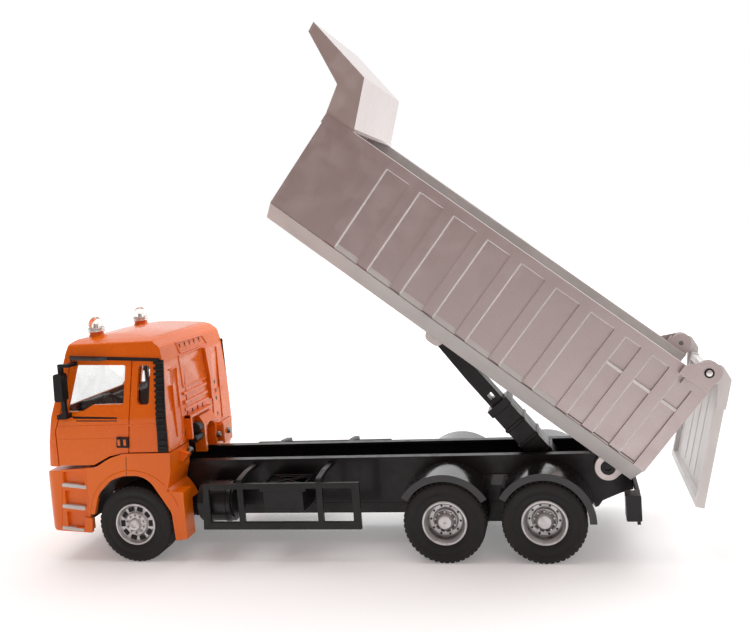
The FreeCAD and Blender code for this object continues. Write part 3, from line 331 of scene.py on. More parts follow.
def to_object(name, work, place=None):
    """Turns a bmesh in local millimetres into an object in the truck's metres."""
    if place is not None:
        bmesh.ops.transform(work, matrix=place, verts=work.verts)
    bmesh.ops.recalc_face_normals(work, faces=work.faces)
    mesh = bpy.data.meshes.new(name)
    work.to_mesh(mesh)
    work.free()
    thing = bpy.data.objects.new(name, mesh)
    bpy.context.scene.collection.objects.link(thing)
    return thing


def add_box(work, low, high, turn=None):
    made = bmesh.ops.create_cube(work, size=1)["verts"]
    middle = (Vector(low) + Vector(high)) / 2
    size = Vector(high) - Vector(low)
    matrix = Matrix.Translation(middle) @ (turn or Matrix()) @ Matrix.Diagonal((*size, 1))
    bmesh.ops.transform(work, matrix=matrix, verts=made)


def add_prism(work, plane, outline, start, end):
    """Extrudes a closed outline across the axis its plane leaves out."""
    def point(spot, depth):
        if plane == "XZ":
            return (spot[0], depth, spot[1])
        if plane == "YZ":
            return (depth, spot[0], spot[1])
        return (spot[0], spot[1], depth)

    near = [work.verts.new(point(spot, start)) for spot in outline]
    far = [work.verts.new(point(spot, end)) for spot in outline]
    work.faces.new(near)
    work.faces.new(list(reversed(far)))
    count = len(outline)
    for index in range(count):
        ahead = (index + 1) % count
        work.faces.new((near[index], far[index], far[ahead], near[ahead]))


def add_lathe(work, profile, centre, steps):
    """Turns (y, radius) points about an axle that runs across the truck."""
    rings = []
    for step in range(steps):
        turn = 2 * math.pi * step / steps
        ring = []
        for across, radius in profile:
            ring.append(work.verts.new((centre[0] + radius * math.sin(turn), across,
                                        centre[1] + radius * math.cos(turn))))
        rings.append(ring)
    count = len(profile)
    for step in range(steps):
        here = rings[step]
        ahead = rings[(step + 1) % steps]
        for index in range(count):
            after = (index + 1) % count
            work.faces.new((here[index], here[after], ahead[after], ahead[index]))


def add_round(work, foot, head, radius, sides=24):
    """A closed round bar between two points."""
    foot = Vector(foot)
    head = Vector(head)
    along = head - foot
    made = bmesh.ops.create_cone(
        work, cap_ends=True, segments=sides, radius1=radius, radius2=radius, depth=along.length)["verts"]
    aim = along.to_track_quat("Z", "Y").to_matrix().to_4x4()
    bmesh.ops.transform(work, matrix=Matrix.Translation((foot + head) / 2) @ aim, verts=made)


def arc(centre, wide, tall, angles):
    """Points of an ellipse at angles in degrees."""
    turns = [math.radians(angle) for angle in angles]
    return [(centre[0] + wide * math.cos(turn), centre[1] + tall * math.sin(turn)) for turn in turns]


def mirror_all(work):
    """Adds the same shapes on the truck's other side."""
    extra = bmesh.ops.duplicate(work, geom=work.verts[:] + work.edges[:] + work.faces[:])["geom"]
    fresh = [one for one in extra if isinstance(one, bmesh.types.BMVert)]
    bmesh.ops.transform(work, matrix=Matrix.Diagonal((1, -1, 1, 1)), verts=fresh)


BODY_OF = {}
for body_name, members in frame["record"]["behaviour"]["bodies"].items():
    for member in members:
        BODY_OF[member] = body_name


def refine(node, material, bevel, slot, sharp=32):
    """A rounded-edge copy of a CAD piece that stands in for it."""
    work = bmesh.new()
    work.from_mesh(frame["nodes"][node].data)
    bmesh.ops.remove_doubles(work, verts=work.verts, dist=2e-6)
    bmesh.ops.dissolve_limit(work, angle_limit=math.radians(0.6), verts=work.verts, edges=work.edges)
    thing = to_object(node + "_shown", work)
    settle(thing, BODY_OF[node], material, bevel, sharp=sharp, slot=slot, stands_for=(node,))


# ------------------------------------------------------------------ repeated parts


class Growth:
    """A Geometry Nodes tree with named inputs, run once and kept as plain mesh."""

    def __init__(self, name):
        self.tree = bpy.data.node_groups.new(name, "GeometryNodeTree")
        self.tree.is_modifier = True
        self.values = {}
        self.tree.interface.new_socket("Geometry", in_out="INPUT", socket_type="NodeSocketGeometry")
        self.tree.interface.new_socket("Geometry", in_out="OUTPUT", socket_type="NodeSocketGeometry")
        self.entry = self.tree.nodes.new("NodeGroupInput")
        self.exit = self.tree.nodes.new("NodeGroupOutput")

    def input(self, name, kind, value):
        item = self.tree.interface.new_socket(name, in_out="INPUT", socket_type=kind)
        self.values[item.identifier] = value
        return self.entry.outputs[name]

    def node(self, kind, settings=None, values=None):
        made = self.tree.nodes.new(kind)
        for key, value in (settings or {}).items():
            setattr(made, key, value)
        for key, value in (values or {}).items():
            if isinstance(value, bpy.types.NodeSocket):
                self.tree.links.new(value, made.inputs[key])
            else:
                made.inputs[key].default_value = value
        return made

    def run(self, name, instances, base, material):
        """Ends the tree in Realize Instances and Set Material and returns the grown object."""
        real = self.node("GeometryNodeRealizeInstances", values={"Geometry": instances})
        paint = self.node("GeometryNodeSetMaterial", values={"Geometry": real.outputs[0]})
        paint.inputs["Material"].default_value = material
        self.tree.links.new(paint.outputs[0], self.exit.inputs[0])
        modifier = base.modifiers.new("grow", "NODES")
        modifier.node_group = self.tree
        for identifier, value in self.values.items():
            modifier[identifier] = value
        bpy.context.view_layer.update()
        shown = base.evaluated_get(bpy.context.evaluated_depsgraph_get())
        mesh = bpy.data.meshes.new_from_object(shown)
        bpy.data.objects.remove(base)
        mesh.name = name
        grown = bpy.data.objects.new(name, mesh)
        bpy.context.scene.collection.objects.link(grown)
        return grown


def point_cloud(name, spots, place):
    """Loose points, each with the way it faces."""
    mesh = bpy.data.meshes.new(name)
    mesh.from_pydata([place @ Vector(spot) for spot, _ in spots], [], [])
    aim = mesh.attributes.new("aim", "FLOAT_VECTOR", "POINT")
    turn = place.to_3x3().normalized()
    for index, (_, way) in enumerate(spots):
        aim.data[index].vector = (turn @ Vector(way)).normalized()
    thing = bpy.data.objects.new(name, mesh)
    bpy.context.scene.collection.objects.link(thing)
    return thing


def studs(name, body, place, spots, radius, height, sides, material, top=0.72, slot=None):
    """Bolt or rivet heads on a list of (spot, direction): a sided body with a tapered cap."""
    grow = Growth(name + "_growth")
    wide = grow.input("Head radius", "NodeSocketFloat", radius * MM)
    tall = grow.input("Head height", "NodeSocketFloat", height * MM)
    taper = grow.input("Top share", "NodeSocketFloat", top)
    narrow = grow.node("ShaderNodeMath", {"operation": "MULTIPLY"}, {0: wide, 1: taper}).outputs[0]
    body_part = grow.node("GeometryNodeMeshCylinder", {"fill_type": "NGON"},
                          {"Vertices": sides, "Radius": wide, "Depth": tall})
    cap = grow.node("GeometryNodeMeshCone", {"fill_type": "NGON"},
                    {"Vertices": sides, "Radius Top": narrow, "Radius Bottom": wide, "Depth": tall})
    half = grow.node("ShaderNodeMath", {"operation": "MULTIPLY"}, {0: tall, 1: 0.5}).outputs[0]
    lift = grow.node("ShaderNodeCombineXYZ", values={2: half}).outputs[0]
    raised = grow.node("GeometryNodeTransform", values={"Geometry": cap.outputs[0], "Translation": lift})
    joined = grow.node("GeometryNodeJoinGeometry")
    grow.tree.links.new(body_part.outputs[0], joined.inputs[0])
    grow.tree.links.new(raised.outputs[0], joined.inputs[0])
    way = grow.node("GeometryNodeInputNamedAttribute", {"data_type": "FLOAT_VECTOR"}, {"Name": "aim"})
    aimed = grow.node("FunctionNodeAlignRotationToVector", {"axis": "Z"}, {"Vector": way.outputs[0]})
    placed = grow.node("GeometryNodeInstanceOnPoints", values={
        "Points": grow.entry.outputs[0], "Instance": joined.outputs[0], "Rotation": aimed.outputs[0]})
    base = point_cloud(name + "_points", spots, place)
    grown = grow.run(name, placed.outputs[0], base, material)
    settle(grown, body, None, 0, sharp=30, slot=slot)


def blocks(name, body, place, spots, size, material, bevel=0.0, slot=None):
    """The same bevelled bar repeated on a list of (spot, direction)."""
    grow = Growth(name + "_growth")
    dims = grow.input("Bar size", "NodeSocketVector", Vector(size) * MM)
    bar = grow.node("GeometryNodeMeshCube", values={"Size": dims})
    way = grow.node("GeometryNodeInputNamedAttribute", {"data_type": "FLOAT_VECTOR"}, {"Name": "aim"})
    aimed = grow.node("FunctionNodeAlignRotationToVector", {"axis": "X", "pivot_axis": "Y"},
                      {"Vector": way.outputs[0]})
    placed = grow.node("GeometryNodeInstanceOnPoints", values={
        "Points": grow.entry.outputs[0], "Instance": bar.outputs[0], "Rotation": aimed.outputs[0]})
    base = point_cloud(name + "_points", spots, place)
    grown = grow.run(name, placed.outputs[0], base, material)
    settle(grown, body, None, bevel, sharp=30, slot=slot)


# ------------------------------------------------------------------ wheels

TYRE_R = 16.0
RIM_R = 8.8
FACE = 35.7
LUGS = 46
NUTS = 10
NUT_STEP = 360 / NUTS
FRONT_X = 128.4
AXLES = {"front": (FRONT_X, "front_wheels"), "mid": (0.0, "middle_wheels"), "rear": (-37.8, "rear_wheels")}


def tyre_profile(inner, outer):
    """Section of one tyre, bead to bead, with shoulder and sidewall ribs."""
    side = [(-0.2, RIM_R), (0.05, 9.6), (0.32, 10.4), (0.42, 11.4), (0.30, 11.6), (0.30, 12.9),
            (0.42, 13.1), (0.34, 14.2), (0.22, 15.0), (-0.05, 15.45), (-0.9, 15.74)]
    right = [(outer + step, radius) for step, radius in side]
    left = [(inner - step, radius) for step, radius in reversed(side)]
    return right + left


def tread(name, body, x, inner, outer, sign):
    """Two rows of tread lugs grown round the tyre with a ring of centre blocks."""
    grow = Growth(name + "_growth")
    count = grow.input("Lug count", "NodeSocketInt", LUGS)
    reach = grow.input("Lug radius", "NodeSocketFloat", 15.72 * MM)
    ring = grow.node("GeometryNodeMeshCircle", values={"Vertices": count, "Radius": reach})
    tilt = grow.node("GeometryNodeTransform", values={"Geometry": ring.outputs[0]})
    tilt.inputs["Rotation"].default_value = (math.pi / 2, 0, 0)
    place = grow.node("GeometryNodeInputPosition")
    aimed = grow.node("FunctionNodeAlignRotationToVector", {"axis": "Z", "pivot_axis": "Y"},
                      {"Vector": place.outputs[0]})
    width = outer - inner
    joined = grow.node("GeometryNodeJoinGeometry")
    rows = ((inner + 0.18 * width, 0.28 * width, 1.55, 0.0), (outer - 0.18 * width, 0.28 * width, 1.55, 0.5),
            ((inner + outer) / 2 - 0.12 * width, 0.17 * width, 1.5, 0.25),
            ((inner + outer) / 2 + 0.12 * width, 0.17 * width, 1.5, 0.75))
    for middle, wide, long, phase in rows:
        lug = grow.node("GeometryNodeMeshCube")
        lug.inputs["Size"].default_value = (long * MM, wide * MM, 0.54 * MM)
        spun = grow.node("GeometryNodeTransform", values={"Geometry": tilt.outputs[0]})
        spun.inputs["Rotation"].default_value = (0, 2 * math.pi * phase / LUGS, 0)
        placed = grow.node("GeometryNodeInstanceOnPoints", values={
            "Points": spun.outputs[0], "Instance": lug.outputs[0], "Rotation": aimed.outputs[0]})
        moved = grow.node("GeometryNodeTransform", values={"Geometry": placed.outputs[0]})
        moved.inputs["Translation"].default_value = (AXLE_X + x * MM, sign * middle * MM, TYRE_R * MM)
        grow.tree.links.new(moved.outputs[0], joined.inputs[0])
    mesh = bpy.data.meshes.new(name + "_seed")
    base = bpy.data.objects.new(name + "_seed", mesh)
    bpy.context.scene.collection.objects.link(base)
    grown = grow.run(name, joined.outputs[0], base, RUBBER)
    settle(grown, body, None, 0.14, 1, sharp=30, slot="tyre_rubber")


def make_tyre(place_name, side, sign):
    x, body = AXLES[place_name]
    outer = FACE - 0.3
    work = bmesh.new()
    if place_name == "front":
        spans = [(outer - 11.5, outer)]
    else:
        spans = [(outer - 19.4, outer - 10.3), (outer - 9.1, outer)]
    for near, far in spans:
        profile = [(sign * across, radius) for across, radius in tyre_profile(near + 0.1, far - 0.1)]
        add_lathe(work, profile, (x, TYRE_R), 96)
    if place_name != "front":
        middle = outer - 9.7
        add_lathe(work, [(sign * (middle - 1.2), RIM_R), (sign * (middle + 1.2), RIM_R),
                         (sign * (middle + 1.2), 11.4), (sign * (middle - 1.2), 11.4)], (x, TYRE_R), 48)
    node = "tyre_%s_%s" % (place_name, side)
    thing = to_object(node + "_shown", work, TRUCK)
    settle(thing, body, RUBBER, 0, sharp=50, slot="tyre_rubber", stands_for=(node,))
    for index, (near, far) in enumerate(spans):
        tread("%s_tread_%d" % (node, index), body, x, near, far, sign)


def nut_ring(x, radius, sign, face, start=0):
    """Spots round a wheel's face, each with its outward direction."""
    turns = [math.radians(NUT_STEP * index + start) for index in range(NUTS)]
    return [((x + radius * math.sin(turn), sign * face, TYRE_R + radius * math.cos(turn)), (0, sign, 0))
            for turn in turns]


def make_front_rim(side, sign):
    x, body = AXLES["front"]
    work = bmesh.new()
    profile = [(24.0, 2.0), (24.0, RIM_R - 0.05), (FACE - 0.3, RIM_R - 0.05), (FACE, RIM_R - 0.3),
               (FACE, RIM_R - 0.75), (FACE - 0.5, RIM_R - 1.0), (FACE - 1.5, RIM_R - 1.35),
               (FACE - 1.9, 7.0), (FACE - 1.7, 5.2), (FACE - 1.2, 4.8), (FACE - 0.7, 4.55),
               (FACE - 0.6, 2.75), (FACE - 0.2, 2.5), (FACE + 0.8, 2.25), (FACE + 1.1, 1.95),
               (FACE + 1.1, 1.1), (FACE + 0.7, 0.95), (FACE + 0.7, 0.01),
               (24.0, 0.01)]
    add_lathe(work, [(sign * across, radius) for across, radius in profile], (x, TYRE_R), 80)
    node = "rim_front_" + side
    thing = to_object(node + "_shown", work, TRUCK)
    settle(thing, body, RIM, 0.12, sharp=28, slot="rim_silver", stands_for=(node,))
    # dark boxes set in the face where the hand holes are: painted shade in place of the holes
    holes = bmesh.new()
    for index in range(NUTS):
        turn = math.radians(NUT_STEP * index + NUT_STEP / 2)
        spot = Vector((x + 6.15 * math.sin(turn), sign * (FACE - 1.6), TYRE_R + 6.15 * math.cos(turn)))
        reach = Vector((1.3, 0.18, 0.85))
        add_box(holes, spot - reach, spot + reach, Matrix.Rotation(turn, 4, "Y"))
    settle(to_object("hand_hole_shades_" + side, holes, TRUCK), body, TRIM, 0.35, 3, slot="rim_silver")
    nuts = nut_ring(x, 3.65, sign, FACE - 0.45)
    studs("wheel_nuts_front_" + side, body, TRUCK, nuts, 0.52, 0.7, 6, RIM, slot="rim_silver")


def make_rear_rim(place_name, side, sign):
    x, body = AXLES[place_name]
    work = bmesh.new()
    profile = [(16.0, 2.0), (16.0, RIM_R - 0.05), (FACE - 0.3, RIM_R - 0.05), (FACE, RIM_R - 0.35),
               (FACE, RIM_R - 0.85), (FACE - 0.6, RIM_R - 1.15), (FACE - 1.6, RIM_R - 1.35),
               (FACE - 2.2, 7.1), (FACE - 4.6, 6.75), (FACE - 5.0, 6.4), (FACE - 5.0, 4.95),
               (FACE - 4.4, 4.75), (FACE - 3.6, 4.6), (FACE - 3.4, 4.2), (FACE - 2.9, 3.4),
               (FACE - 1.6, 2.75), (FACE - 1.2, 2.4), (FACE - 1.2, 0.5), (FACE - 1.5, 0.3),
               (FACE - 1.5, 0.01), (16.0, 0.01)]
    if place_name == "rear":
        profile[-4:] = [(FACE - 1.15, 1.2), (FACE - 1.05, 0.01), (16.0, 0.01)]
    add_lathe(work, [(sign * across, radius) for across, radius in profile], (x, TYRE_R), 80)
    node = "rim_%s_%s" % (place_name, side)
    thing = to_object(node + "_shown", work, TRUCK)
    settle(thing, body, RIM, 0.12, sharp=28, slot="rim_silver", stands_for=(node,))
    # dark grey rings round the hub, at the face's inner edge and across the dish: painted shade
    painted_shade = bmesh.new()
    for ring in ([(FACE - 3.34, 4.16), (FACE - 2.84, 3.42), (FACE - 2.80, 3.46), (FACE - 3.30, 4.20)],
                 [(FACE - 4.96, 6.28), (FACE - 4.96, 6.52), (FACE - 4.90, 6.52), (FACE - 4.90, 6.28)],
                 [(FACE - 2.16, 7.02), (FACE - 4.56, 6.70), (FACE - 4.56, 6.64), (FACE - 2.16, 6.96)]):
        add_lathe(painted_shade, [(sign * across, radius) for across, radius in ring], (x, TYRE_R), 64)
    end = "_%s_%s" % (place_name, side)
    settle(to_object("rim_recess" + end, painted_shade, TRUCK), body, PAINTED_SHADE_STEEL, slot="rim_silver")
    # dark discs in the dish where the holes are: painted shade in place of the holes
    holes = nut_ring(x, 5.75, sign, FACE - 4.98, 14)
    nuts = nut_ring(x, 3.9, sign, FACE - 3.15)
    studs("rim_hole_shades" + end, body, TRUCK, holes, 0.45, 0.05, 14, TRIM, 0.98, "rim_silver")
    studs("wheel_nuts" + end, body, TRUCK, nuts, 0.48, 0.55, 6, RIM, slot="rim_silver")


for side, sign in (("left", 1), ("right", -1)):
    make_front_rim(side, sign)
    for place_name in ("mid", "rear"):
        make_rear_rim(place_name, side, sign)
    for place_name in AXLES:
        make_tyre(place_name, side, sign)

# ------------------------------------------------------------------ pieces kept from the frame

for node, material, bevel, slot in (
    ("cab_shell", ORANGE, 0.3, "cab_paint"),
    ("door_left", ORANGE, 0.2, "cab_paint"),
    ("door_right", ORANGE, 0.2, "cab_paint"),
    ("bumper", ORANGE_PLASTIC, 0.35, "cab_plastic"),
    ("wheel_arch_left", ORANGE_PLASTIC, 0.3, "cab_plastic"),
    ("wheel_arch_right", ORANGE_PLASTIC, 0.3, "cab_plastic"),
    ("chassis_frame", BLACK, 0.2, "chassis_black"),
    ("underframe", BLACK, 0.2, "chassis_black"),
    ("fenders_left", FENDER, 0.45, "chassis_black"),
    ("fenders_right", FENDER, 0.45, "chassis_black"),
    ("side_guard_left", GUARD_BLACK, 0.3, "chassis_black"),
    ("side_guard_right", GUARD_BLACK, 0.3, "chassis_black"),
    ("air_tank_left", BLACK, 0.3, "chassis_black"),
    ("battery_box_left", BLACK, 0.25, "chassis_black"),
    ("fuel_tank_right", BLACK, 0.3, "chassis_black"),
    ("tail_bar", BLACK, 0.3, "chassis_black"),
    ("bed_floor", SILVER, 0.2, "bed_paint"),
    ("bed_headboard", SILVER, 0.3, "bed_paint"),
    ("cab_shield", SILVER, 0.25, "bed_paint"),
    ("hinge_bracket", SILVER, 0.3, "bed_paint"),
    # the tailgate takes the lighter copy of the silver: painted light
    ("tailgate", LIT_GATE_SILVER, 0.3, "bed_paint"),
    ("hoist_sleeve", BLACK, 0.4, "chassis_black"),
    ("hoist_ram", BLACK, 0.4, "chassis_black"),
    ("mirror_left", TRIM, 0.4, "trim_black"),
    ("mirror_right", TRIM, 0.4, "trim_black"),
    ("grille", TRIM, 0.2, "trim_black"),
    ("intake_strip_left", TRIM, 0.12, "trim_black"),
    ("intake_strip_right", TRIM, 0.12, "trim_black"),
    ("cabin_tub", CABIN, 0.4, "cabin_black"),
    ("seats", CABIN, 0.8, "cabin_black"),
    ("steering_wheel", CABIN, 0.0, "cabin_black"),
    ("tray_screws", DARK_STEEL, 0.15, "steel"),
    ("gate_pins", DARK_STEEL, 0.2, "steel"),
    ("hoist_head_pin", STEEL, 0.15, "steel"),
    ("hoist_foot_pin", STEEL, 0.15, "steel"),
    ("axle_front", STEEL, 0.15, "steel"),
    ("axle_mid", STEEL, 0.15, "steel"),
    ("axle_rear", STEEL, 0.15, "steel"),
    ("windscreen", GLASS, 0.0, "glazing"),
    ("quarter_panes", GLASS, 0.0, "glazing"),
    ("door_glass_left", GLASS, 0.0, "glazing"),
    ("door_glass_right", GLASS, 0.0, "glazing"),
    ("headlamp_left", LENS, 0.3, "lamp_clear"),
    ("headlamp_right", LENS, 0.3, "lamp_clear"),
):
    refine(node, material, bevel, slot)
# the bed sides take the darker, pinker copy of the silver: painted shade
for node in ("bed_side_left", "bed_side_right"):
    refine(node, SHADED_SIDE_SILVER, 0.0, "bed_paint", sharp=6)

# ------------------------------------------------------------------ trim laid on the pieces


def faces_of(nodes):
    """The named pieces' faces in truck millimetres, for laying trim on them."""
    spots = []
    faces = []
    home = TRUCK.inverted()
    for node in nodes:
        mesh = frame["nodes"][node].data
        start = len(spots)
        spots += [home @ one.co for one in mesh.vertices]
        faces += [[start + index for index in face.vertices] for face in mesh.polygons]
    return BVHTree.FromPolygons(spots, faces)


CAB_SKIN = faces_of(["cab_shell", "door_left", "bumper", "wheel_arch_left", "intake_strip_left"])
FLANK_Y = 35.0
FLANK_LEAST = 28
BACK_X = 110.6
BACK_RANGE = (109.5, 116)
OUTSIDE_Y = 80
BEHIND_X = 70


def side_at(x, z, otherwise=FLANK_Y):
    """How far out the cab's left side is, met from outside."""
    hit = CAB_SKIN.ray_cast(Vector((x, OUTSIDE_Y, z)), Vector((0, -1, 0)))[0]
    return otherwise if hit is None or hit.y < FLANK_LEAST else hit.y


def back_at(y, z):
    """Where the cab's back wall is, met from behind."""
    hit = CAB_SKIN.ray_cast(Vector((BEHIND_X, y, z)), Vector((1, 0, 0)))[0]
    return hit.x if hit is not None and BACK_RANGE[0] <= hit.x <= BACK_RANGE[1] else BACK_X


def add_band(work, upper, lower, lift, depth=0.5, steps=14):
    """A strip that follows the cab's left side between two lines of (x, z)."""
    rings = []
    for step in range(steps + 1):
        share = step / steps
        top = [upper[0][axis] + share * (upper[1][axis] - upper[0][axis]) for axis in (0, 1)]
        foot = [lower[0][axis] + share * (lower[1][axis] - lower[0][axis]) for axis in (0, 1)]
        high_y = side_at(*top)
        low_y = side_at(*foot)
        rings.append([work.verts.new((top[0], high_y + lift, top[1])),
                      work.verts.new((foot[0], low_y + lift, foot[1])),
                      work.verts.new((foot[0], low_y - depth, foot[1])),
                      work.verts.new((top[0], high_y - depth, top[1]))])
    for first, second in zip(rings, rings[1:]):
        for index in range(4):
            after = (index + 1) % 4
            work.faces.new((first[index], first[after], second[after], second[index]))
    work.faces.new(rings[0])
    work.faces.new(list(reversed(rings[-1])))


def add_back_plate(work, outline, proud):
    """A raised flat of (y, z) corners on the cab's back wall."""
    found = [back_at(*spot) for spot in outline]
    add_prism(work, "YZ", outline, max(found) + 0.3, min(found) - proud)


def add_back_line(work, spots, radius=0.4, closed=True):
    """A moulded line through (y, z) spots on the cab's back wall."""
    if closed:
        spots = spots + spots[:1]
    for first, second in zip(spots, spots[1:]):
        ends = [(back_at(*spot) - 0.05, spot[0], spot[1]) for spot in (first, second)]
        add_round(work, ends[0], ends[1], radius, 8)


def add_turned(work, profile, centre, steps=40):
    """Turns (z, radius) points about an upright line."""
    rings = []
    for step in range(steps):
        turn = 2 * math.pi * step / steps
        across, along = math.cos(turn), math.sin(turn)
        rings.append([work.verts.new((centre[0] + radius * across, centre[1] + radius * along, z))
                      for z, radius in profile])
    count = len(profile)
    for step in range(steps):
        here = rings[step]
        ahead = rings[(step + 1) % steps]
        for index in range(count):
            after = (index + 1) % count
            work.faces.new((here[index], ahead[index], ahead[after], here[after]))


def finish_mirrored(name, work, body, material, place=TRUCK, **ways):
    """Settles a piece that is the same on both sides of the truck."""
    mirror_all(work)
    settle(to_object(name, work, place), body, material, **ways)


# cab sides: rain strip, flare seam, step strips, corner column
work = bmesh.new()
add_band(work, [(152.1, 86.8), (112.4, 84.3)], [(152.2, 85.5), (112.4, 83.0)], 0.5)
add_band(work, [(129.4, 44.5), (130.0, 36.9)], [(129.7, 44.5), (130.3, 36.9)], 0.06, 0.3, 3)
finish_mirrored("rain_strips", work, "chassis", TRIM, bevel=0.1, slot="trim_black")

work = bmesh.new()
for outline in ([(159.8, 33.8), (148.9, 32.6), (149.0, 31.1), (160.0, 32.3)],
                [(160.6, 24.8), (150.4, 23.6), (150.5, 22.0), (160.8, 23.2)],
                [(161.7, 15.4), (151.9, 14.1), (152.0, 12.9), (161.9, 13.9)]):
    add_prism(work, "XZ", outline, 33.3, 35.45)
finish_mirrored("step_strips", work, "chassis", STRIPE, bevel=0.2, slot="cab_plastic")

work = bmesh.new()
add_band(work, [(159.2, 39.4), (162.0, 14.6)], [(159.7, 39.4), (162.5, 14.6)], 0.22, 0.4, 6)
add_prism(work, "XZ", [(150.6, 19.3), (147.2, 18.7), (147.9, 12.9), (151.3, 13.3)], 34.8, 35.9)
add_band(work, [(124.0, 57.9), (115.6, 57.9)], [(124.0, 57.1), (115.6, 57.1)], 0.16, 0.4, 4)
rim_path = arc((FRONT_X, 17.0), 20.4, 21.6, [-6 + 7 * step for step in range(25)])
for first, second in zip(rim_path, rim_path[1:]):
    if side_at(*first, 0) > 34 and side_at(*second, 0) > 34:
        add_round(work, (first[0], side_at(*first) - 0.1, first[1]),
                  (second[0], side_at(*second) - 0.1, second[1]), 0.42, 8)
finish_mirrored("flare_mouldings", work, "chassis", ORANGE_PLASTIC, slot="cab_plastic")

# dark liners inside the front wheel openings
work = bmesh.new()
opening = (FRONT_X, 16.8)
lining = arc(opening, 18.6, 19.4, range(6, 172, 6)) + arc(opening, 19.3, 20.1, range(168, 0, -6))
add_prism(work, "XZ", lining, 20.5, 34.6)
finish_mirrored("front_wheel_liners", work, "chassis", TRIM, slot="chassis_black")

# ribs down the black air intakes behind the doors
spots = []
for step in range(29):
    z = 47.2 + 1.26 * step
    x = 113.4 - 1.5 * (z - 46.1) / 37.5
    for sign in (1, -1):
        spots.append(((x, sign * (side_at(x, z) + 0.06), z), (1, 0, 0)))
blocks("intake_ribs", "chassis", TRUCK, spots, (2.8, 0.5, 0.5), GUARD_BLACK, 0.08, "trim_black")

# suspension block between the rear axles
work = bmesh.new()
saddle = [(-30.0, 18.3), (-7.5, 18.3), (-9.5, 12.4), (-13.0, 9.4), (-25.0, 9.4), (-28.2, 12.4)]
add_prism(work, "XZ", saddle, -13.6, 13.6)
for x in (-25.5, -12.0):
    add_round(work, (x, -13.9, 15.0), (x, 13.9, 15.0), 1.5)
settle(to_object("bogie_block", work, TRUCK), "chassis", BLACK, 0.4, 3, slot="chassis_black")

# pressed lines down the tailgate's inner skin, in a bright silver that paints their highlights
GATE_HOME = GATE.inverted()
gate_mesh = frame["nodes"]["tailgate"].data
gate_spots = [GATE_HOME @ one.co for one in gate_mesh.vertices]
GATE_SKIN = BVHTree.FromPolygons(gate_spots, [list(face.vertices) for face in gate_mesh.polygons])
gate_low = min(spot.z for spot in gate_spots)
gate_high = max(spot.z for spot in gate_spots)
work = bmesh.new()
for y in (-12.5, 0.0, 12.5):
    rows = []
    for share in (0.10, 0.3, 0.5, 0.7, 0.82):
        z = gate_low + share * (gate_high - gate_low)
        hit = GATE_SKIN.ray_cast(Vector((60, y, z)), Vector((-1, 0, 0)))[0]
        if hit is not None:
            rows.append(Vector((hit.x - 0.05, y, z)))
    if len(rows) > 1 and abs(rows[0].x - rows[-1].x) < 3:
        add_round(work, rows[0], rows[-1], 0.3, 8)
settle(to_object("tailgate_pressing_highlights", work, GATE), "tailgate", HIGHLIGHT_SILVER, 0.0, slot="bed_paint")

# doors: handle, pressed lines and a plain two-line flash
for side, sign in (("left", 1), ("right", -1)):
    body = side + "_door"
    turned = TRUCK @ Matrix.Diagonal((1, sign, 1, 1))
    work = bmesh.new()
    add_band(work, [(125.4, 57.9), (159.3, 57.9)], [(125.4, 57.2), (159.3, 57.2)], 0.16, 0.4)
    add_band(work, [(134.6, 52.4), (159.0, 52.4)], [(134.6, 51.8), (159.0, 51.8)], 0.14, 0.4)
    settle(to_object("door_pressings_" + side, work, turned), body, ORANGE, 0.06, slot="cab_paint")
    work = bmesh.new()
    add_prism(work, "XZ", [(133.0, 52.9), (127.6, 52.7), (127.9, 48.2), (133.4, 48.4)], 34.8, 35.75)
    settle(to_object("door_handle_surround_" + side, work, turned), body, TRIM, 0.3, 3, slot="trim_black")
    work = bmesh.new()
    for middle in (132.0, 129.4):
        add_prism(work, "XZ", [(middle + 0.62, 51.9), (middle - 0.62, 51.9), (middle - 0.55, 49.2),
                               (middle + 0.7, 49.3)], 35.4, 35.86)
    settle(to_object("door_handle_pads_" + side, work, turned), body, ORANGE, 0.2, slot="cab_paint")
    work = bmesh.new()
    add_band(work, [(152.4, 61.9), (132.2, 61.0)], [(151.9, 60.9), (132.2, 60.3)], 0.03, 0.2, 6)
    add_band(work, [(150.6, 60.2), (132.2, 59.7)], [(150.2, 59.7), (132.2, 59.3)], 0.03, 0.2, 6)
    settle(to_object("door_flash_" + side, work, turned), body, PRINT_AND_SHADE_BLACK, slot="cab_paint")

# the cab's back wall
work = bmesh.new()
add_back_line(work, [(17.1, 82.6), (-6.4, 82.9), (-9.9, 68.9), (15.6, 69.3)], 0.45)
add_back_line(work, [(16.3, 88.2), (-12.0, 87.8), (-15.4, 83.6), (14.9, 83.9)], 0.42)
add_back_line(work, [(-16.3, 81.4), (-25.1, 81.1), (-23.8, 47.3), (-13.4, 48.3)], 0.42)
add_back_line(work, [(27.2, 78.5), (20.4, 78.7), (20.9, 72.3), (20.2, 50.0), (26.0, 46.5)], 0.42, False)
add_back_plate(work, [(-7.4, 82.7), (-14.4, 82.1), (-13.2, 59.0), (-10.6, 59.0), (-10.6, 68.8)], 1.5)
for low_z, high_z in ((65.8, 67.0), (62.0, 63.3), (58.9, 60.3)):
    add_back_plate(work, [(16.5, high_z), (-9.2, high_z), (-9.4, low_z), (16.2, low_z)], 0.55)
add_back_plate(work, [(17.6, 57.2), (-7.6, 57.2), (-7.6, 55.9), (17.6, 55.9)], 2.6)
add_back_plate(work, [(17.6, 57.2), (16.2, 57.2), (16.2, 47.0), (17.6, 47.0)], 2.6)
add_back_plate(work, [(27.6, 72.2), (26.9, 72.2), (26.4, 50.6), (27.1, 50.6)], 0.5)
settle(to_object("back_wall_pressings", work, TRUCK), "chassis", ORANGE, 0.22, 2, slot="cab_paint")

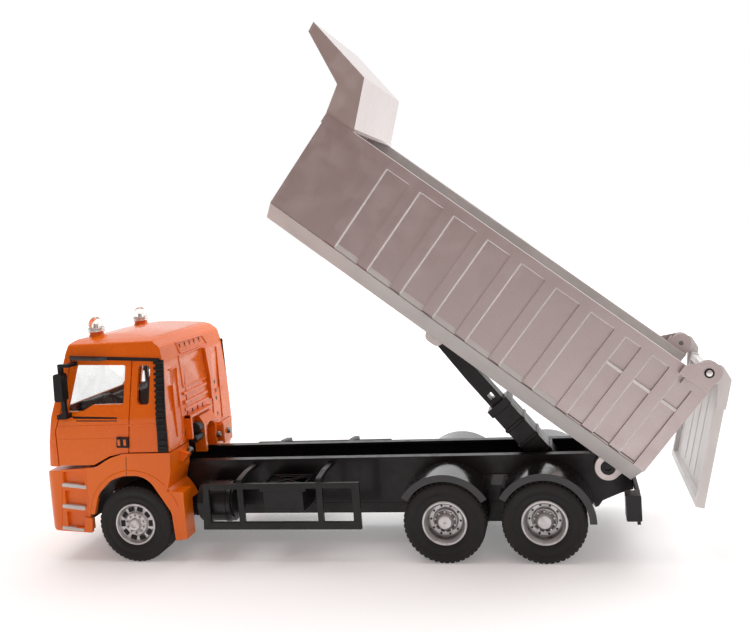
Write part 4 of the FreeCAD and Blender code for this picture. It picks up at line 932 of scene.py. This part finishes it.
# dark plates where the back wall's slots and louvre ticks are: painted shade
work = bmesh.new()
for y, z in ((14.1, 58.0), (8.6, 58.0), (3.1, 58.0), (-2.7, 58.0), (-19.6, 65.1),
             (-19.4, 61.1), (-19.2, 57.6), (-18.9, 50.5), (19.0, 50.0)):
    x = back_at(y, z)
    add_box(work, (x - 0.12, y - 0.55, z - 0.8), (x + 0.2, y + 0.55, z + 0.8))
for y in (13.0, 7.6, 2.6, -2.4, -8.0):
    x = back_at(y, 86.4)
    add_box(work, (x - 0.2, y - 0.25, 85.2), (x + 0.2, y + 0.25, 87.4))
settle(to_object("back_wall_slot_shades", work, TRUCK), "chassis", PRINT_AND_SHADE_BLACK, 0.1, slot="cab_paint")

work = bmesh.new()
add_prism(work, "XZ", [(116.0, 39.8), (110.3, 44.4), (106.3, 43.1), (109.5, 39.2)], 20.0, 25.5)
add_box(work, (103.9, -18.8, 38.8), (104.9, -8.4, 48.2))
add_box(work, (104.8, -9.6, 39.6), (110.5, -8.4, 47.6))
add_box(work, (104.8, -18.8, 39.6), (110.5, -17.6, 46.4))
settle(to_object("cab_catches", work, TRUCK), "chassis", ORANGE_PLASTIC, 0.5, 3, slot="cab_plastic")
catch_screws = [((107.2, 22.6, 43.6), (-0.55, 0, 0.83)), ((106.0, -7.0, 43.4), (-1, 0, 0.1)),
                ((103.8, -13.6, 43.5), (-1, 0, 0))]
studs("cab_catch_screws", "chassis", TRUCK, catch_screws,
      1.35, 0.8, 16, DARK_STEEL, 0.8, "steel")
work = bmesh.new()
add_round(work, (108.4, 12.5, 50.6), (108.4, 8.2, 50.6), 2.2)
add_round(work, (108.4, 15.4, 46.4), (108.4, 7.6, 46.4), 1.7)
settle(to_object("cab_tilt_bushes", work, TRUCK), "chassis", TRIM, 0.3, 3, slot="trim_black")

# beacons: painted foot, bright collar, clear dome over a small lamp
for side, sign in (("left", 1), ("right", -1)):
    spot = (145.2, sign * 20.8)
    node = "beacon_" + side
    work = bmesh.new()
    add_turned(work, [(96.5, 0.02), (96.5, 3.1), (98.4, 3.1), (99.5, 2.85), (100.5, 2.25), (101.2, 1.4),
                      (101.55, 0.6), (101.6, 0.02)], spot)
    settle(to_object(node + "_dome", work, TRUCK), "chassis", DOME, 0, sharp=50, slot="beacon_clear",
           stands_for=(node,))
    work = bmesh.new()
    add_turned(work, [(95.0, 0.02), (95.0, 3.2), (95.25, 3.6), (95.7, 3.6), (95.85, 3.3), (96.15, 3.3),
                      (96.3, 3.7), (96.95, 3.65), (96.95, 3.2), (96.45, 3.1), (96.45, 0.02)], spot)
    settle(to_object(node + "_collar", work, TRUCK), "chassis", CHROME, 0.08, slot="steel")
    work = bmesh.new()
    add_turned(work, [(93.0, 0.02), (93.0, 3.3), (93.9, 3.05), (94.6, 2.9), (95.0, 2.9), (95.0, 0.02)], spot)
    settle(to_object(node + "_foot", work, TRUCK), "chassis", ORANGE, 0.2, slot="cab_paint")
    work = bmesh.new()
    add_turned(work, [(96.3, 0.02), (96.3, 1.1), (97.4, 0.9), (98.4, 0.75), (98.8, 0.4), (98.9, 0.02)], spot)
    settle(to_object(node + "_lamp", work, TRUCK), "chassis", CHROME, 0.05, slot="steel")

# bed: ledges under the side panels, in a lighter copy of the silver that stands as painted light
RIBS = (135.9, 120.8, 105.5, 90.4, 75.4, 60.1, 45.0, 29.9, 18.5, 6.5)
work = bmesh.new()
RIB_HALF = 2.3
REAR_PANEL = (-2.2, 4.1)
spans = [(after + RIB_HALF, before - RIB_HALF) for before, after in zip(RIBS, RIBS[1:])]
for start, end in spans[:-2]:
    add_prism(work, "YZ", [(36.0, 12.8), (36.45, 12.6), (36.95, 11.0), (36.95, 10.6), (36.0, 10.4)],
              start, end)
add_prism(work, "YZ", [(29.2, 3.75), (36.3, 10.25), (36.7, 10.2), (29.4, 3.5)], -6.9, 163.8)
finish_mirrored("bed_panel_ledges", work, "bed", LIT_SATIN, BED, bevel=0.1, slot="bed_paint")

# bright strips on the ribs' rear sides, along the panels' top borders and over the dividers: painted highlights
work = bmesh.new()
for centre in RIBS:
    edge = centre - 2.2
    add_prism(work, "XY", [(edge, 36.3), (edge - 0.55, 36.3), (edge - 0.12, 37.5), (edge + 0.05, 37.5)],
              11.0, 46.3)
for start, end in spans + [REAR_PANEL]:
    add_prism(work, "YZ", [(36.3, 46.5), (36.3, 45.95), (36.95, 46.3), (36.95, 46.5)], start, end)
for start, end in ((20.9, 27.5), (8.9, 16.1), REAR_PANEL):
    add_prism(work, "YZ", [(36.2, 35.7), (37.46, 35.5), (37.46, 34.5), (36.2, 34.1)], start, end)
finish_mirrored("bed_rib_highlights", work, "bed", HIGHLIGHT_SILVER, BED, bevel=0.06, slot="bed_paint")

# dark strips along the lower panels' grooves: painted shade
work = bmesh.new()
for start, end in spans[-3:] + [REAR_PANEL]:
    add_prism(work, "YZ", [(36.2, 11.3), (36.55, 11.3), (36.55, 10.9), (36.2, 10.9)], start, end)
finish_mirrored("bed_panel_grooves", work, "bed", GROOVE_SHADE, BED, slot="bed_paint")

# smooth skins on the inside of both bed walls, in the lighter satin silver: painted light
work = bmesh.new()
add_prism(work, "YZ", [(34.62, 12.7), (34.42, 12.9), (34.42, 49.9), (34.62, 50.1)], -6.2, 158.0)
finish_mirrored("bed_inner_skins", work, "bed", LIT_SATIN, BED, bevel=0.05, slot="bed_paint")

# outer ears over the gate arms, each with a bushed pin
PIVOT = (-2.6, 52.8)
ear = arc(PIVOT, 4.3, 4.3, range(40, 236, 14))
work = bmesh.new()
add_prism(work, "XZ", ear + [(-6.9, 46.6), (5.6, 46.6), (5.6, 50.1)], 39.95, 40.4)
add_box(work, (2.7, 38.0, 46.7), (5.5, 40.0, 50.0))
# the ears take the darker bed-side silver: painted shade
finish_mirrored("bed_gate_ears", work, "bed", SHADED_SIDE_SILVER, BED, bevel=0.15, slot="bed_paint")

work = bmesh.new()
add_lathe(work, [(40.3, 1.1), (40.3, 1.75), (40.62, 1.75), (40.7, 1.6), (40.7, 1.1)], PIVOT, 36)
finish_mirrored("gate_pivot_bushes", work, "bed", TRIM, BED, bevel=0.05, slot="trim_black")
work = bmesh.new()
add_lathe(work, [(40.25, 0.02), (40.25, 1.12), (40.75, 1.12), (40.85, 0.9), (40.85, 0.02)], PIVOT, 36)
finish_mirrored("gate_pivot_heads", work, "bed", CHROME, BED, bevel=0.05, slot="steel")

# ------------------------------------------------------------------ floor, light, camera

floor_mesh = bmesh.new()
FLOOR_REACH = 4000
add_box(floor_mesh, (-FLOOR_REACH, -FLOOR_REACH, -6), (FLOOR_REACH, FLOOR_REACH, 0))
floor = to_object("studio_floor", floor_mesh, Matrix.Scale(MM, 4))
paper = Look("studio_paper", Specular_IOR_Level=0.2, Roughness=0.8, Emission_Strength=1.0)
# painted light and shade on the floor: it glows, most beyond 1 m behind the truck, and the glow fades out between
# y 0.12 and 0.36 m; its colour greys from y 0.2 to 0.62 m, so the bed's sides reflect less
far = paper.letter(paper.position(), "Y")
near = paper.blend(paper.noise(3, 2), (0.90, 0.90, 0.90), (0.92, 0.92, 0.92))
paper.feed("Base Color", paper.blend(paper.ramp(far, 0.2, 0.62), near, (0.72, 0.70, 0.69)))
glow = paper.blend(paper.ramp(far, -1.0, -0.12), (0.60, 0.60, 0.60), (0.20, 0.20, 0.20))
paper.feed("Emission Color", paper.blend(paper.ramp(far, 0.12, 0.36), glow, (0, 0, 0)))
floor.data.materials.append(paper.material)


def soft_light(name, spot, target, width, height, power, tint=(1, 1, 1)):
    data = bpy.data.lights.new(name, "AREA")
    data.shape = "RECTANGLE"
    data.size = width
    data.size_y = height
    data.energy = power
    data.color = tint
    lamp = bpy.data.objects.new(name, data)
    lamp.location = spot
    lamp.rotation_mode = "QUATERNION"
    lamp.rotation_quaternion = (Vector(target) - Vector(spot)).to_track_quat("-Z", "Y")
    bpy.context.scene.collection.objects.link(lamp)


soft_light("top_softbox", (0.0, -0.12, 1.15), (0, 0, 0.05), 1.2, 0.9, 6.2)
soft_light("side_softbox", (-0.45, 0.95, 0.75), (0.02, 0, 0.09), 0.6, 0.6, 1.3, (1.0, 0.96, 0.94))
soft_light("rear_softbox", (-1.0, -0.55, 0.6), (0.08, 0, 0.06), 0.7, 0.7, 3.6)

world = bpy.data.worlds.new("studio_air")
bpy.context.scene.world = world
world.use_nodes = True
# white to the camera; for lighting, a dimmer warm side at +Y
WHITE = (1, 1, 1)
WARM_SIDE = (0.32, 0.22, 0.195)
air = Graph(world.node_tree)
facing = air.letter(air.node("ShaderNodeTexCoord").outputs["Generated"], "Y")
sides = air.blend(air.ramp(facing, -0.25, 0.45), WHITE, WARM_SIDE)
camera_ray = air.node("ShaderNodeLightPath").outputs["Is Camera Ray"]
air.links.new(air.blend(camera_ray, sides, WHITE), air.nodes["Background"].inputs["Color"])
bpy.context.scene.view_settings.view_transform = "Standard"

YAW = 0.208
PITCH = 0.097
ROLL = -0.071
LENS_MM = 43.577
CAMERA_SPOT = (AXLE_X - 0.04947, 0.37116, 0.13069)
camera_data = bpy.data.cameras.new("studio_camera")
camera_data.lens = LENS_MM
camera_data.sensor_width = 36
camera_data.clip_start = 0.01
camera_data.clip_end = 20
camera = bpy.data.objects.new("studio_camera", camera_data)
forward = Vector((math.sin(YAW) * math.cos(PITCH), -math.cos(YAW) * math.cos(PITCH), -math.sin(PITCH)))
right = forward.cross(Vector((0, 0, 1))).normalized()
up = right.cross(forward)
rolled_right = math.cos(ROLL) * right + math.sin(ROLL) * up
rolled_up = -math.sin(ROLL) * right + math.cos(ROLL) * up
turn = Matrix((rolled_right, rolled_up, -forward)).transposed().to_4x4()
camera.matrix_world = Matrix.Translation(CAMERA_SPOT) @ turn
bpy.context.scene.collection.objects.link(camera)
bpy.context.scene.camera = camera
